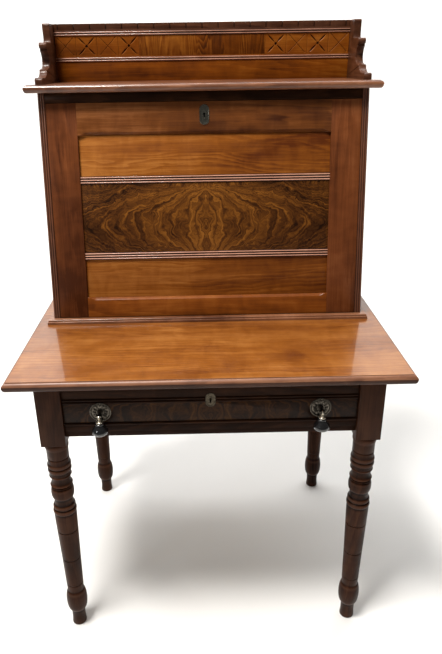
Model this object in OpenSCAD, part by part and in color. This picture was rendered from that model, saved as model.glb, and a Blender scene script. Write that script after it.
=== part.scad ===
// Fall-front secretary desk: a table on four turned legs with one drawer, carrying a
// shallow writing cabinet whose front leans back and folds down to a writing surface.
// Millimetres. X runs to the right, Y to the back, Z up. The origin is on the floor,
// under the middle of the table top.

/* [Table] */
// Width of the table top
table_w = 864; // [844:2:900]
// Depth of the table top
table_d = 633; // [620:1:680]
// Height of the table top above the floor
table_h = 740; // [700:2:780]
// Thickness of the table top
top_t = 22; // [20:1:26]
// Side of the square leg blocks
leg_sq = 56; // [52:1:58]
// Height of the square leg blocks, which is the turned part's distance from the top
leg_block_h = 158; // [156:1:170]
// Depth of the frieze that the aprons and the drawer fill
frieze_h = 138; // [132:1:144]
// Overhang of the table top past the leg blocks at each side
side_overhang = 53.5; // [45:0.5:58]
// Overhang of the table top past the front leg blocks
front_overhang = 35; // [28:0.5:45]
// Overhang of the table top past the back leg blocks
back_overhang = 11; // [6:0.5:25]

/* [Drawer] */
// Height of the rails above and below the drawer
rail_h = 14; // [12:1:16]
// Thickness of the drawer front
drawer_front_t = 22; // [20:1:24]
// Depth of the drawer from its front face to its back
drawer_d = 490; // [420:5:500]
// Distance of each pull from the middle of the drawer
pull_x = 240; // [200:1:260]
// Radius of the pull's round plate
plate_r = 23.5; // [18:0.5:24]
// Largest radius of the ebonised drop
drop_r = 18; // [14:0.5:18.5]

/* [Cabinet] */
// Width of the cabinet
case_w = 775; // [755:1:790]
// Depth of the cabinet at its foot
case_d = 286; // [280:1:292]
// Height of the cabinet's sides
case_h = 540; // [536:1:560]
// Thickness of the cabinet's sides
side_t = 16; // [15:0.5:18]
// Angle by which the front leans back, in degrees
lean = 10; // [8:0.5:12]
// Thickness of the cornice board
cornice_t = 17.5; // [16:0.5:22]
// Overhang of the cornice at the front and the sides
cornice_over = 25.5; // [20:0.5:30]
// Height of the moulding round the cabinet's foot
base_h = 12; // [11:0.5:13]
// Projection of the moulding round the cabinet's foot
base_out = 14; // [10:0.5:17]

/* [Gallery] */
// Height of the gallery board
gallery_h = 134; // [130:1:140]
// Thickness of the gallery board
gallery_t = 18; // [16:0.5:20]
// Distance between the saw cuts along the gallery's top edge
kerf_pitch = 40; // [36:1:44]

/* [Fall front] */
// Thickness of the fall's frame
fall_t = 20; // [19:0.5:21]
// Height of the fall, measured up its slope
fall_len = 512; // [506:1:514]
// Width of the fall's stiles
stile_w = 71; // [60:1:80]
// Width of the fall's top rail
top_rail_w = 73; // [60:1:80]
// Width of the fall's bottom rail
bottom_rail_w = 50; // [44:1:60]
// Angle through which the fall opens, in degrees
fall_open = 100; // [98:0.5:102]
// Distance from the fall's pivot to the stay's pin and to the stay's stud
stay_reach = 125; // [115:1:128]

/* [Writing fitment] */
// Distance from the cabinet's foot line back to the fitment's front
fitment_y = 140; // [130:1:150]
// Thickness of the fitment's boards
board_t = 8; // [6:0.5:9]
// Height of the small drawers' row
low_row_h = 68; // [60:1:76]
// Height of the pigeonholes
hole_h = 160; // [120:1:180]
// Number of pigeonholes
holes = 6; // [4:1:8]
// Thickness of the small drawers' fronts
small_front_t = 12; // [10:0.5:14]

/* [Hidden] */
$fn = 48;

walnut = "saddlebrown";
dark_walnut = [0.30, 0.16, 0.09];
burl = [0.42, 0.24, 0.11];
poplar = "burlywood";
brass_tone = [0.66, 0.52, 0.28];
ebony = [0.06, 0.05, 0.05];

gap = 0.3;         // air between pieces that move past each other
through = 1;       // how far a cutter runs past the face that it cuts
sin_lean = sin(lean);
cos_lean = cos(lean);

// Legs
leg_x = table_w / 2 - side_overhang - leg_sq / 2;
leg_front_y = -table_d / 2 + front_overhang + leg_sq / 2;
leg_back_y = table_d / 2 - back_overhang - leg_sq / 2;
frame_top = table_h - top_t;
block_bottom = frame_top - leg_block_h;
frieze_bottom = frame_top - frieze_h;
leg_in_x = leg_x - leg_sq / 2;
leg_front_in_y = leg_front_y + leg_sq / 2;
leg_back_in_y = leg_back_y - leg_sq / 2;

// Aprons and their tenons
apron_t = 20;
apron_setback = 6;
tenon_t = 8;
tenon_l = 22;
tenon_shoulder = 12;
apron_out_x = leg_x + leg_sq / 2 - apron_setback;
apron_in_x = apron_out_x - apron_t;
apron_back_y = leg_back_y + leg_sq / 2 - apron_setback;

// Drawer
drawer_setback = 6;
drawer_face_y = leg_front_y - leg_sq / 2 + drawer_setback;
rail_setback = 4;
drawer_z0 = frieze_bottom + rail_h + gap;
drawer_z1 = frame_top - rail_h - 1;
drawer_w = 2 * leg_in_x - 2;
drawer_side_t = 12;
drawer_back_t = 10;
drawer_bottom_t = 6;
drawer_inner_y = drawer_face_y + drawer_front_t;
drawer_end_y = drawer_face_y + drawer_d;
side_h = drawer_z1 - drawer_z0 - 3;
bottom_rise = 8;       // height of the bottom's groove above the drawer's lower edge
groove_in = 5;         // depth of the grooves that hold the drawer bottom
tail_l = 14;
tails = 3;
upper_reed_z = drawer_z1 - 32;
lower_bead_z = drawer_z0 + 20;
reed_w = 6.5;
bead_w = 7.5;
bead_sink = 0.8;       // depth of a bead's middle line behind the drawer's face
bead_air = 0.05;
veneer_t = 1.5;
guide_h = 18;
runner_in_x = leg_in_x - 18;
screw_r = 2;
screw_head_r = 4;
screw_head_h = 2.5;
screw_bite = 12;

// Pulls: places are measured from the drawer's face and from the pull's pin
pull_z = (drawer_z0 + drawer_z1) / 2 - 3.5;
pin_out = 24;
pin_r = 1.5;
pin_clear = 0.06;
eye_r = 4;
eye_w = 4;
ear_t = 2.5;
ear_gap = 0.35;
shank_r = 2.2;
shank_l = 8;
collar_r = 8;
collar_h = 4.5;
drop_l = 32.4;

// Cabinet
case_in_x = case_w / 2 - side_t;
case_top_z = table_h + case_h;
fall_z0 = table_h + base_h + 0.6;
fall_y0 = (fall_z0 - table_h) * tan(lean);
pivot_up = 12;         // the pivot's height above the fall's lower edge, up the slope
pivot_in = fall_t / 2; // the pivot's depth behind the fall's face
function slope_y(u, v) = fall_y0 + u * sin_lean - v * cos_lean;
function slope_z(u, v) = fall_z0 + u * cos_lean + v * sin_lean;
pivot_y = slope_y(pivot_up, -pivot_in);
pivot_z = slope_z(pivot_up, -pivot_in);
floor_top = pivot_z + fall_t / 2;
floor_t = 20;
cove_r = norm([pivot_up, pivot_in]) + 0.4;
dado = 6;
back_t = 10;
back_rabbet = 8;
back_y = case_d - back_t;
front_reeds = 3;
reed_groove_r = 1.3;
cornice_z0 = case_top_z;
cornice_z1 = cornice_z0 + cornice_t;
cornice_front_y = case_h * tan(lean) - cornice_over;
rail_lip = 11;
rail_lip_drop = 12;

// Gallery: heights are measured up from the cornice
bracket_t = 18;
gallery_half = case_w / 2 - bracket_t + 1;
gallery_back_y = case_d - 2;
gallery_y = gallery_back_y - gallery_t;
kerf_w = 1.8;
kerf_h = 14;
kerf_in = 4;           // depth of the kerfs behind the board's face
frieze_z0 = 59;
frieze_z1 = 106;
square_w = 53;
burl_half = gallery_half - 4 * square_w;
gallery_reeds = [49, 54.5, 108.5, 114];
gallery_reed_r = 2;
petal_l = 27;
petal_w = 9;
petal_depth = 2;
line_shy = 0.6;         // how much shallower the crossed lines are than the petals
line_w = 1.6;

// Fall
fall_half = case_in_x - 0.7;
open_half = fall_half - stile_w;
panel_low = bottom_rail_w;
panel_high = fall_len - top_rail_w;
panel_recess = 6;
tongue_t = 6;
tongue_in = 8;
tongue_back = 6;       // the tongue's distance from the frame's inner face
fall_tenon_l = 40;
fall_tenon_shoulder = 10;
chamfer = 7;
chamfer_stop = 12;     // where the chamfers stop, measured from the stiles
reed_band = 18;
reed_low = 144;
reed_high = 327;
reeds = 3;
field_raise = 2;
pivot_plate_t = 2;
pivot_plate_w = 12;
pivot_plate_l = 58;
pivot_pin_r = 3;
pivot_pin_l = 5;
pivot_clear = 0.05;
socket_t = 2.5;

// Stays: the pin, the pivot and the stud make a triangle with two equal sides, so a
// stay turns through exactly half the fall's angle
ear_out = 8;           // the stay pin's distance from the fall's inner face
stay_pin_v = -fall_t - ear_out;
stay_pin_u = pivot_up + sqrt(pow(stay_reach, 2) - pow(stay_pin_v + pivot_in, 2));
stay_lead = 10;        // the stud's angle behind the pin when the fall is closed
stay_pin_y = slope_y(stay_pin_u, stay_pin_v);
stay_pin_z = slope_z(stay_pin_u, stay_pin_v);
stay_pin_angle = atan2(stay_pin_z - pivot_z, stay_pin_y - pivot_y);
stud_angle = stay_pin_angle - stay_lead;
stud_y = pivot_y + stay_reach * cos(stud_angle);
stud_z = pivot_z + stay_reach * sin(stud_angle);
stay_angle = atan2(stud_z - stay_pin_z, stud_y - stay_pin_y);
stay_slot_near = 2 * stay_reach * sin(stay_lead / 2);
stay_slot_far = 2 * stay_reach * sin((stay_lead + fall_open) / 2);
stay_w = 13;
stay_t = 2.5;
stay_x = case_in_x - 7.5;  // the stay's inner face
stay_pin_r = 2.5;
stud_r = 2;
stud_clear = 0.2;

// Fitment
fitment_half = case_in_x - 17;
fitment_d = back_y - fitment_y;
low_shelf_z = floor_top + low_row_h;
high_shelf_z = low_shelf_z + board_t + hole_h;
end_t = 10;
small_half = 112;      // half the width of the open bay between the small drawers
small_w = fitment_half - end_t - small_half - board_t - 2 * gap;
small_x = (fitment_half - end_t + small_half + board_t) / 2;
small_h = low_row_h - 2 * gap - 0.4;
small_side_t = 6;
small_d = fitment_d - 3;
knob_l = 13;

// Points of an arc round [cx, cy]
function arc(cx, cy, rx, ry, from, to, steps) =
    [for (i = [0:steps]) let (a = from + (to - from) * i / steps) [cx + rx * cos(a), cy + ry * sin(a)]];

// A board's moulded edge, from its upper face outwards and round to its under face: a
// small step, a slope that swells a little, an arris, and a nose that draws in below it
function moulded_edge(t) =
    let (step = t * 0.36, quirk = t * 0.06, arris = t * 0.36, nose = t * 0.42)
    let (steepest = 40, swell = (arris - quirk) / (1 - sin(steepest)))
    concat(
        [[-step, t]],
        arc(-step, t - quirk - swell, step / cos(steepest), swell, 90, steepest, 4),
        arc(-step, t - nose, step, t - nose, 0, -90, 6)
    );

// Outline of a board of width w with both edges moulded
module moulded_section(w, t) {
    edge = moulded_edge(t);
    right = [for (p = edge) [w / 2 + p[0], p[1]]];
    last = len(edge) - 1;
    left = [for (i = [last:-1:0]) [-w / 2 - edge[i][0], edge[i][1]]];
    polygon(concat(right, left));
}

// A board w by d by t, centred on X and Y, with all four edges moulded
module moulded_board(w, d, t) {
    intersection() {
        rotate([90, 0, 0]) linear_extrude(d + 2 * through, center = true) moulded_section(w, t);
        rotate([90, 0, 90]) linear_extrude(w + 2 * through, center = true) moulded_section(d, t);
    }
}

module mirrored_pair() {
    children();
    mirror([1, 0, 0]) children();
}

// Puts its children in the fall's own frame: X across, Y up the slope from the fall's
// lower edge, Z out of its front face
module on_fall() {
    translate([0, fall_y0, fall_z0]) rotate([90 - lean, 0, 0]) children();
}

// A cylinder along X that starts at x
module along_x(x, y, z, r, l) {
    translate([x, y, z]) rotate([0, 90, 0]) cylinder(r = r, h = l);
}

// ---------------------------------------------------------------- table

// Radius of the turned leg against height, from the floor to the square block
leg_profile = concat(
    [[0, 0], [15.5, 0]],
    arc(15.5, 3, 2.5, 3, -90, 0, 3),
    [[16.5, 30], [18.5, 47]],
    arc(18.5, 80, 7.3, 32, -78, 78, 8),
    [[20, 113], [20, 117], [20.8, 134], [19.8, 136], [20.8, 138]],
    [[22.6, 218], [21.6, 220], [22.6, 222]],
    [[25, 307], [24, 309], [25, 311], [26.3, 356], [25, 361]],
    arc(25, 368, 2.6, 5, -70, 70, 4),
    [[24, 375]],
    arc(23.5, 381, 2.6, 4.5, -70, 70, 4),
    [[22.3, 392], [22.3, 403], [23.5, 406]],
    arc(24, 421, 2.6, 13, -75, 75, 6),
    [[23.5, 436], [24.8, 439], [23.6, 442]],
    arc(29, 456.5, 7, 12.5, 250, 110, 6),
    [[24.3, 471], [24.3, 475], [25, 478]],
    arc(24.5, 486, 2.8, 5.5, -70, 70, 4),
    arc(24.5, 498, 2.8, 5, -70, 70, 4),
    [[24.8, 506], [24.8, 517], [23.8, 519], [24.8, 521], [25, 540]],
    arc(21, 550, 6, 9, -30, 80, 5),
    [[22, 562], [0, 562]]
);
turned_h = 560;

module mortise(x, y, z0, z1, lx, ly) {
    translate([x - lx / 2, y - ly / 2, z0]) cube([lx, ly, z1 - z0]);
}

apron_tenon_z0 = frieze_bottom + tenon_shoulder;
apron_tenon_z1 = frame_top - tenon_shoulder;
apron_mid_x = (apron_in_x + apron_out_x) / 2;
apron_mid_y = apron_back_y - apron_t / 2;

// Tenons of the side aprons, which are also the legs' mortises
module side_tenons() {
    for (y = [leg_front_in_y - tenon_l / 2, leg_back_in_y + tenon_l / 2])
        mortise(apron_mid_x, y, apron_tenon_z0, apron_tenon_z1, tenon_t, tenon_l);
}

module back_tenon() {
    mortise(leg_in_x + tenon_l / 2, apron_mid_y, apron_tenon_z0, apron_tenon_z1, tenon_l, tenon_t);
}

rail_mid_y = (drawer_face_y + rail_setback + leg_front_in_y) / 2;
rail_tenon_w = 26;

module rail_tenons() {
    for (z = [frieze_bottom, frame_top - rail_h])
        mortise(leg_in_x + tenon_l / 2, rail_mid_y, z + 3, z + rail_h - 3, tenon_l, rail_tenon_w);
}

// A leg at the right; y is its centre
module leg(y) {
    translate([leg_x, y, 0]) {
        rotate_extrude() polygon([for (p = leg_profile) [p[0], p[1] * block_bottom / turned_h]]);
        translate([-leg_sq / 2, -leg_sq / 2, block_bottom]) cube([leg_sq, leg_sq, leg_block_h]);
    }
}

module front_leg() {
    color(dark_walnut) difference() {
        leg(leg_front_y);
        side_tenons();
        rail_tenons();
    }
}

module back_leg() {
    color(dark_walnut) difference() {
        leg(leg_back_y);
        side_tenons();
        back_tenon();
    }
}

module leg_front_right() { front_leg(); }
module leg_front_left() { mirror([1, 0, 0]) front_leg(); }
module leg_back_right() { back_leg(); }
module leg_back_left() { mirror([1, 0, 0]) back_leg(); }

module apron_right() {
    color(dark_walnut) {
        translate([apron_in_x, leg_front_in_y, frieze_bottom])
            cube([apron_t, leg_back_in_y - leg_front_in_y, frieze_h]);
        side_tenons();
    }
}

module apron_left() { mirror([1, 0, 0]) apron_right(); }

module apron_back() {
    color(dark_walnut) {
        translate([-leg_in_x, apron_back_y - apron_t, frieze_bottom])
            cube([2 * leg_in_x, apron_t, frieze_h]);
        mirrored_pair() back_tenon();
    }
}

module front_rail(z) {
    translate([-leg_in_x, drawer_face_y + rail_setback, z])
        cube([2 * leg_in_x, leg_front_in_y - drawer_face_y - rail_setback, rail_h]);
    mirrored_pair() intersection() {
        rail_tenons();
        translate([0, drawer_face_y, z]) cube([table_w, leg_sq, rail_h]);
    }
}

module front_top_rail() { color(dark_walnut) front_rail(frame_top - rail_h); }
module drawer_rail() { color(dark_walnut) front_rail(frieze_bottom); }

module drawer_runners() {
    length = leg_back_in_y - leg_front_in_y;
    color(poplar) mirrored_pair() translate([0, leg_front_in_y, frieze_bottom]) {
        translate([runner_in_x, 0, 0]) cube([apron_in_x - runner_in_x, length, rail_h]);
        translate([leg_in_x, 0, 0]) cube([apron_in_x - leg_in_x, length, rail_h + guide_h]);
    }
}

screw_ys = [leg_front_in_y + 60, (leg_front_in_y + leg_back_in_y) / 2, leg_back_in_y - 60];
screw_x = (runner_in_x + apron_in_x) / 2;
kicker_z = frame_top - rail_h;

// The screws that hold the top, drawn head down; also their holes
module screws() {
    mirrored_pair() for (y = screw_ys) translate([screw_x, y, kicker_z]) {
        cylinder(r = screw_head_r, h = screw_head_h);
        cylinder(r = screw_r, h = rail_h + screw_bite);
    }
}

module drawer_kickers() {
    color(poplar) difference() {
        mirrored_pair() translate([runner_in_x, leg_front_in_y, kicker_z])
            cube([apron_in_x - runner_in_x, leg_back_in_y - leg_front_in_y, rail_h]);
        screws();
    }
}

module table_screws() { color("gray") screws(); }

module table_top() {
    color(walnut) difference() {
        translate([0, 0, frame_top]) moulded_board(table_w, table_d, top_t);
        screws();
    }
}

// ---------------------------------------------------------------- drawer

// Tails at the front end of the right drawer side; also the sockets in the front
module drawer_tails() {
    pitch = side_h / tails;
    root = pitch * 0.42;
    tip = pitch * 0.62;
    translate([drawer_w / 2 - drawer_side_t, 0, drawer_z0])
        for (i = [0:tails - 1]) translate([0, drawer_inner_y, pitch * (i + 0.5)])
            rotate([90, 0, 90]) linear_extrude(drawer_side_t)
                polygon([[0, -root / 2], [-tail_l, -tip / 2], [-tail_l, tip / 2], [0, root / 2]]);
}

// The groove for the drawer bottom, which is also the bottom itself
module drawer_bottom_board(side_in) {
    half = drawer_w / 2 - drawer_side_t + side_in;
    translate([-half, drawer_inner_y - side_in, drawer_z0 + bottom_rise])
        cube([2 * half, drawer_end_y - drawer_inner_y + side_in, drawer_bottom_t]);
}

module drawer_front() {
    color(dark_walnut) difference() {
        translate([-drawer_w / 2, drawer_face_y, drawer_z0])
            cube([drawer_w, drawer_front_t, drawer_z1 - drawer_z0]);
        mirrored_pair() drawer_tails();
        drawer_bottom_board(groove_in);
        burl_sheet();
        beads();
        drawer_lock_body();
        keyhole_bore(drawer_keyhole_z);
    }
}

module burl_sheet() {
    low = lower_bead_z + bead_w / 2;
    high = upper_reed_z - reed_w;
    translate([-drawer_w / 2, drawer_face_y, low]) cube([drawer_w, veneer_t, high - low]);
}

module drawer_burl() {
    color(burl) difference() {
        burl_sheet();
        keyhole_bore(drawer_keyhole_z);
    }
}

// Three half-round beads let into the drawer front: two reeds above, one bead below
module beads() {
    reeds = [for (side = [-1, 1]) [upper_reed_z + side * reed_w / 2, reed_w]];
    for (bead = concat(reeds, [[lower_bead_z, bead_w]]))
        translate([-drawer_w / 2, drawer_face_y + bead_sink, bead[0]])
            rotate([0, 90, 0]) cylinder(r = bead[1] / 2 - bead_air, h = drawer_w);
}

// The beads stop at the escutcheon and are pared flush under the pulls' plates
module drawer_beading() {
    room_w = plate_w + 2 * plate_air;
    room_h = plate_h + 2 * plate_air;
    color(dark_walnut) difference() {
        beads();
        translate([-room_w / 2, drawer_face_y - bead_w, drawer_plate_z - room_h / 2])
            cube([room_w, 2 * bead_w, room_h]);
        mirrored_pair() translate([pull_x, drawer_face_y, pull_z])
            rotate([90, 0, 0]) cylinder(r = plate_r + plate_air, h = bead_w);
    }
}

module drawer_sides() {
    color(poplar) difference() {
        mirrored_pair() {
            translate([drawer_w / 2 - drawer_side_t, drawer_inner_y, drawer_z0])
                cube([drawer_side_t, drawer_end_y - drawer_inner_y, side_h]);
            drawer_tails();
        }
        drawer_bottom_board(groove_in);
        drawer_back_board();
    }
}

// The back stands on the bottom and is let into the sides
module drawer_back_board() {
    half = drawer_w / 2 - drawer_side_t + groove_in;
    z0 = drawer_z0 + bottom_rise + drawer_bottom_t;
    translate([-half, drawer_end_y - 2 * drawer_back_t, z0])
        cube([2 * half, drawer_back_t, drawer_z0 + side_h - z0]);
}

module drawer_back() { color(poplar) drawer_back_board(); }
module drawer_bottom() { color(poplar) drawer_bottom_board(groove_in); }

// Escutcheons: one plate shape, upright with round ends
plate_w = 22;
plate_h = 34;
plate_t = 1.2;
key_r = 2.8;
key_slot_w = 3;
key_slot_l = 9;
plate_air = 0.5;       // air round a plate where the beads stop
drawer_plate_z = drawer_z1 - 33;
drawer_keyhole_z = drawer_plate_z + 2;

module keyhole(l) {
    cylinder(r = key_r, h = l);
    translate([-key_slot_w / 2, -key_slot_l, 0]) cube([key_slot_w, key_slot_l, l]);
}

// A plate with a keyhole lying on Z = 0, w wide and h high
module key_plate(w, h) {
    difference() {
        union() {
            translate([-w / 2, -h / 2 + w / 2, 0]) cube([w, h - w, plate_t]);
            for (y = [-1, 1]) translate([0, y * (h - w) / 2, 0]) cylinder(r = w / 2, h = plate_t);
        }
        translate([0, 2, -through]) keyhole(plate_t + 2 * through);
    }
}

module keyhole_bore(z) {
    translate([0, drawer_face_y + drawer_front_t + through, z]) rotate([90, 0, 0])
        keyhole(drawer_front_t + 2 * through);
}

lock_w = 64;
lock_h = 38;
lock_t = 11;
lock_drop = 6;         // distance of the lock below the drawer front's top edge

module drawer_lock_body() {
    translate([-lock_w / 2, drawer_inner_y - lock_t, drawer_z1 - lock_drop - lock_h])
        cube([lock_w, lock_t, lock_h]);
}

module drawer_lock() {
    color(brass_tone) difference() {
        drawer_lock_body();
        translate([0, drawer_inner_y - lock_t / 2, drawer_keyhole_z]) rotate([90, 0, 0])
            keyhole(lock_t);
    }
}

module drawer_escutcheon() {
    color(brass_tone) translate([0, drawer_face_y, drawer_plate_z]) rotate([90, 0, 0])
        key_plate(plate_w, plate_h);
}

// A pull is drawn with its pin at the origin, hanging down, the drawer behind it
plate_profile = concat(
    [[0, 0], [plate_r, 0]],
    arc(plate_r - 1.2, 1.2, 1.2, 1.2, 0, 90, 3),
    [[plate_r - 3.5, 2], [plate_r - 4.5, 3]],
    arc(0, 2.4, plate_r * 0.66, 3.1, 10, 80, 5),
    [[0, 5.5]]
);
post_r = 4.5;

module pull_plate() {
    translate([0, pin_out, 0]) rotate([90, 0, 0]) rotate_extrude() polygon(plate_profile);
    translate([0, pin_out, 0]) rotate([90, 0, 0]) cylinder(r = post_r, h = pin_out - eye_r - 1.2);
    for (side = [-1, 1]) translate([side * (eye_w / 2 + ear_gap + ear_t / 2) - ear_t / 2, 0, 0]) {
        along_x(0, 0, 0, post_r, ear_t);
        translate([0, 0, -3.5]) cube([ear_t, eye_r + 2.5, 7]);
    }
    along_x(-eye_w / 2 - ear_gap - 1, 0, 0, pin_r, eye_w + 2 * ear_gap + 2);
}

module pull_plates() {
    color(brass_tone) mirrored_pair() translate([pull_x, drawer_face_y - pin_out, pull_z]) pull_plate();
}

module pull_shank() {
    difference() {
        union() {
            along_x(-eye_w / 2, 0, 0, eye_r, eye_w);
            translate([0, 0, -shank_l - 2]) cylinder(r = shank_r, h = shank_l);
            translate([0, 0, -shank_l - collar_h]) rotate_extrude() polygon(concat(
                [[0, 0], [collar_r - 2.5, 0]],
                arc(collar_r - 2, 2, 2, 2, -90, 90, 6),
                [[3.2, collar_h], [0, collar_h]]
            ));
        }
        along_x(-eye_w / 2 - through, 0, 0, pin_r + pin_clear, eye_w + 2 * through);
    }
}

// The turned drop: narrow shoulders, widest low down, and a small nub beneath
drop_profile = concat(
    [[0, 0], [4, 0]],
    arc(0, 12, drop_r, 11, -76, 10, 8),
    [[drop_r * 0.9, 18], [drop_r * 0.7, 23.5], [drop_r * 0.5, 27.5]],
    arc(drop_r * 0.42, 30, 2.6, 2.4, -60, 90, 4),
    [[0, drop_l]]
);

module pull_drop() {
    translate([0, 0, -shank_l - collar_h - drop_l]) rotate_extrude() polygon(drop_profile);
}

module at_pull(side) {
    translate([side * pull_x, drawer_face_y - pin_out, pull_z]) children();
}

module pull_shank_left() { color(brass_tone) at_pull(-1) pull_shank(); }
module pull_shank_right() { color(brass_tone) at_pull(1) pull_shank(); }
module pull_drop_left() { color(ebony) at_pull(-1) pull_drop(); }
module pull_drop_right() { color(ebony) at_pull(1) pull_drop(); }

// ---------------------------------------------------------------- cabinet

// The right side board, with reeds cut down its leaning front edge
module case_side_right() {
    pitch = side_t / front_reeds;
    color(walnut) difference() {
        translate([case_in_x, 0, 0]) rotate([90, 0, 90]) linear_extrude(side_t) polygon([
            [0, table_h], [case_d, table_h], [case_d, case_top_z], [case_h * tan(lean), case_top_z]
        ]);
        for (i = [1:front_reeds - 1]) translate([case_in_x + i * pitch, 0, table_h])
            rotate([-lean, 0, 0]) translate([0, 0, -case_h]) cylinder(r = reed_groove_r, h = 3 * case_h);
        floor_board();
        back_board();
        socket_plate();
        along_x(case_in_x - through, pivot_y, pivot_z, pivot_pin_r + 0.4, pivot_pin_l + 2 * through);
    }
}

module case_side_left() { mirror([1, 0, 0]) case_side_right(); }

// The floor, hollowed along its front so that the fall's lower edge turns past it
module floor_board() {
    difference() {
        translate([-case_in_x - dado, pivot_y, floor_top - floor_t])
            cube([2 * (case_in_x + dado), back_y - pivot_y, floor_t]);
        along_x(-case_w, pivot_y, pivot_z, cove_r, 2 * case_w);
    }
}

module case_floor() { color(walnut) floor_board(); }

module back_board() {
    translate([-case_in_x - back_rabbet, back_y, table_h])
        cube([2 * (case_in_x + back_rabbet), back_t, case_h]);
}

module case_back() { color(poplar) back_board(); }

// The rail over the fall, with a lip behind it that the fall closes against
module case_top_rail() {
    lower = fall_len + 1;
    behind = -fall_t - 0.4;
    function top_at(v) = (case_top_z - fall_z0 - v * sin_lean) / cos_lean;
    outline = [
        [lower, 0], [top_at(0), 0], [top_at(behind - rail_lip), behind - rail_lip],
        [lower - rail_lip_drop, behind - rail_lip], [lower - rail_lip_drop, behind], [lower, behind]
    ];
    color(dark_walnut) translate([-case_in_x, 0, 0]) rotate([90, 0, 90]) linear_extrude(2 * case_in_x)
        polygon([for (p = outline) [slope_y(p[0], p[1]), slope_z(p[0], p[1])]]);
}

// Outline of the foot moulding, its back on X = 0: a low band, a step and a bead
base_profile = concat(
    [[0, 0], [base_out, 0], [base_out, base_h * 0.5], [base_out - 1.5, base_h * 0.55]],
    [[base_out - 2.5, base_h * 0.7]],
    arc(base_out - 5, base_h * 0.78, 2.6, base_h * 0.22, -10, 90, 5),
    [[0, base_h]]
);

module base_mould() {
    half = case_w / 2;
    color(walnut) translate([0, 0, table_h]) {
        intersection() {
            rotate([90, 0, -90]) linear_extrude(table_w, center = true) polygon(base_profile);
            linear_extrude(base_h) polygon([
                [-half, 0], [half, 0], [half + base_out, -base_out], [-half - base_out, -base_out]
            ]);
        }
        mirrored_pair() intersection() {
            translate([half, 0, 0]) rotate([90, 0, 0]) linear_extrude(2 * table_d, center = true)
                polygon(base_profile);
            linear_extrude(base_h) polygon([
                [half, 0], [half + base_out, -base_out], [half + base_out, case_d], [half, case_d]
            ]);
        }
    }
}

module cornice() {
    w = case_w + 2 * cornice_over;
    d = case_d - cornice_front_y;
    color(walnut) translate([0, cornice_front_y + d / 2, cornice_z0]) intersection() {
        rotate([90, 0, 0]) linear_extrude(d, center = true) moulded_section(w, cornice_t);
        translate([0, d / 2, 0]) rotate([90, 0, 90]) linear_extrude(w, center = true)
            moulded_section(2 * d, cornice_t);
    }
}

// A leaf outline with its two points on the X axis
module petal_outline(l, w) {
    r = (l * l + w * w) / (4 * w);
    intersection() {
        translate([0, r - w / 2]) circle(r = r);
        translate([0, w / 2 - r]) circle(r = r);
    }
}

// The cut work of one carved square, to be taken out of the gallery board's face
module square_carving(x, with_petals) {
    diagonal = (frieze_z1 - frieze_z0) * sqrt(2) - 6;
    translate([x, gallery_y + petal_depth, cornice_z1 + (frieze_z0 + frieze_z1) / 2]) rotate([90, 0, 0]) {
        for (turn = [45, 135]) rotate(turn) {
            if (with_petals) {
                for (side = [-1, 1]) translate([side * (petal_l / 2 + 3), 0, 0])
                    linear_extrude(petal_depth + through) petal_outline(petal_l, petal_w);
            } else {
                translate([-diagonal / 2, -line_w / 2, line_shy]) cube([diagonal, line_w, petal_depth + through]);
            }
        }
        if (with_petals) cylinder(r = 2.4, h = petal_depth + through);
    }
}

module gallery_board() {
    translate([-gallery_half, gallery_y, cornice_z1]) cube([2 * gallery_half, gallery_t, gallery_h]);
}

module gallery_field() {
    translate([-burl_half, gallery_y, cornice_z1 + frieze_z0])
        cube([2 * burl_half, veneer_t, frieze_z1 - frieze_z0]);
}

module gallery_back() {
    kerfs = floor(gallery_half / kerf_pitch);
    kerf_z = cornice_z1 + gallery_h - kerf_h;
    color(walnut) {
        difference() {
            gallery_board();
            for (i = [-kerfs:kerfs])
                translate([i * kerf_pitch - kerf_w / 2, gallery_y - through, kerf_z])
                    cube([kerf_w, kerf_in + through, kerf_h + through]);
            gallery_field();
            mirrored_pair() for (i = [0:3])
                square_carving(gallery_half - (i + 0.5) * square_w, i % 2 == 1);
        }
        for (z = gallery_reeds) translate([-gallery_half, gallery_y, cornice_z1 + z])
            rotate([0, 90, 0]) cylinder(r = gallery_reed_r, h = 2 * gallery_half);
    }
}

module gallery_burl() { color(burl) gallery_field(); }

// Outline of a scroll bracket in Y and Z, from its back lower corner round its front
bracket_outline = concat(
    [[gallery_back_y, 0], [gallery_back_y, gallery_h]],
    arc(gallery_back_y - 54, gallery_h - 6, 6, 6, 90, 180, 3),
    [[gallery_back_y - 59, 105]],
    arc(gallery_back_y - 66, 104, 7, 13, 0, -80, 4),
    arc(gallery_back_y - 108, 84, 8, 7, 90, 270, 8),
    arc(gallery_back_y - 120, 53, 22, 22, 60, -50, 8),
    [[gallery_back_y - 128, 32], [gallery_back_y - 134, 30]],
    arc(gallery_back_y - 168, 36, 34, 22, -10, -85, 6),
    arc(gallery_back_y - 186, 8, 8, 7, 90, 180, 4),
    [[gallery_back_y - 194, 0]]
);

module gallery_brackets() {
    color(walnut) mirrored_pair() translate([gallery_half, 0, cornice_z1])
        rotate([90, 0, 90]) linear_extrude(bracket_t) polygon(bracket_outline);
}

// ---------------------------------------------------------------- fall, in its own frame

tongue_z = -fall_t + tongue_back;

// The panel with its tongues; also the grooves of the frame
module panel_blank() {
    translate([-open_half, panel_low, -fall_t])
        cube([2 * open_half, panel_high - panel_low, fall_t - panel_recess]);
    translate([-open_half - tongue_in, panel_low - tongue_in, tongue_z])
        cube([2 * (open_half + tongue_in), panel_high - panel_low + 2 * tongue_in, tongue_t]);
}

// Tenons at the right end of a rail that lies between two heights; also the mortises
module fall_tenon(low, high) {
    translate([open_half, low + fall_tenon_shoulder, tongue_z - 1])
        cube([fall_tenon_l, high - low - 2 * fall_tenon_shoulder, tenon_t]);
}

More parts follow.
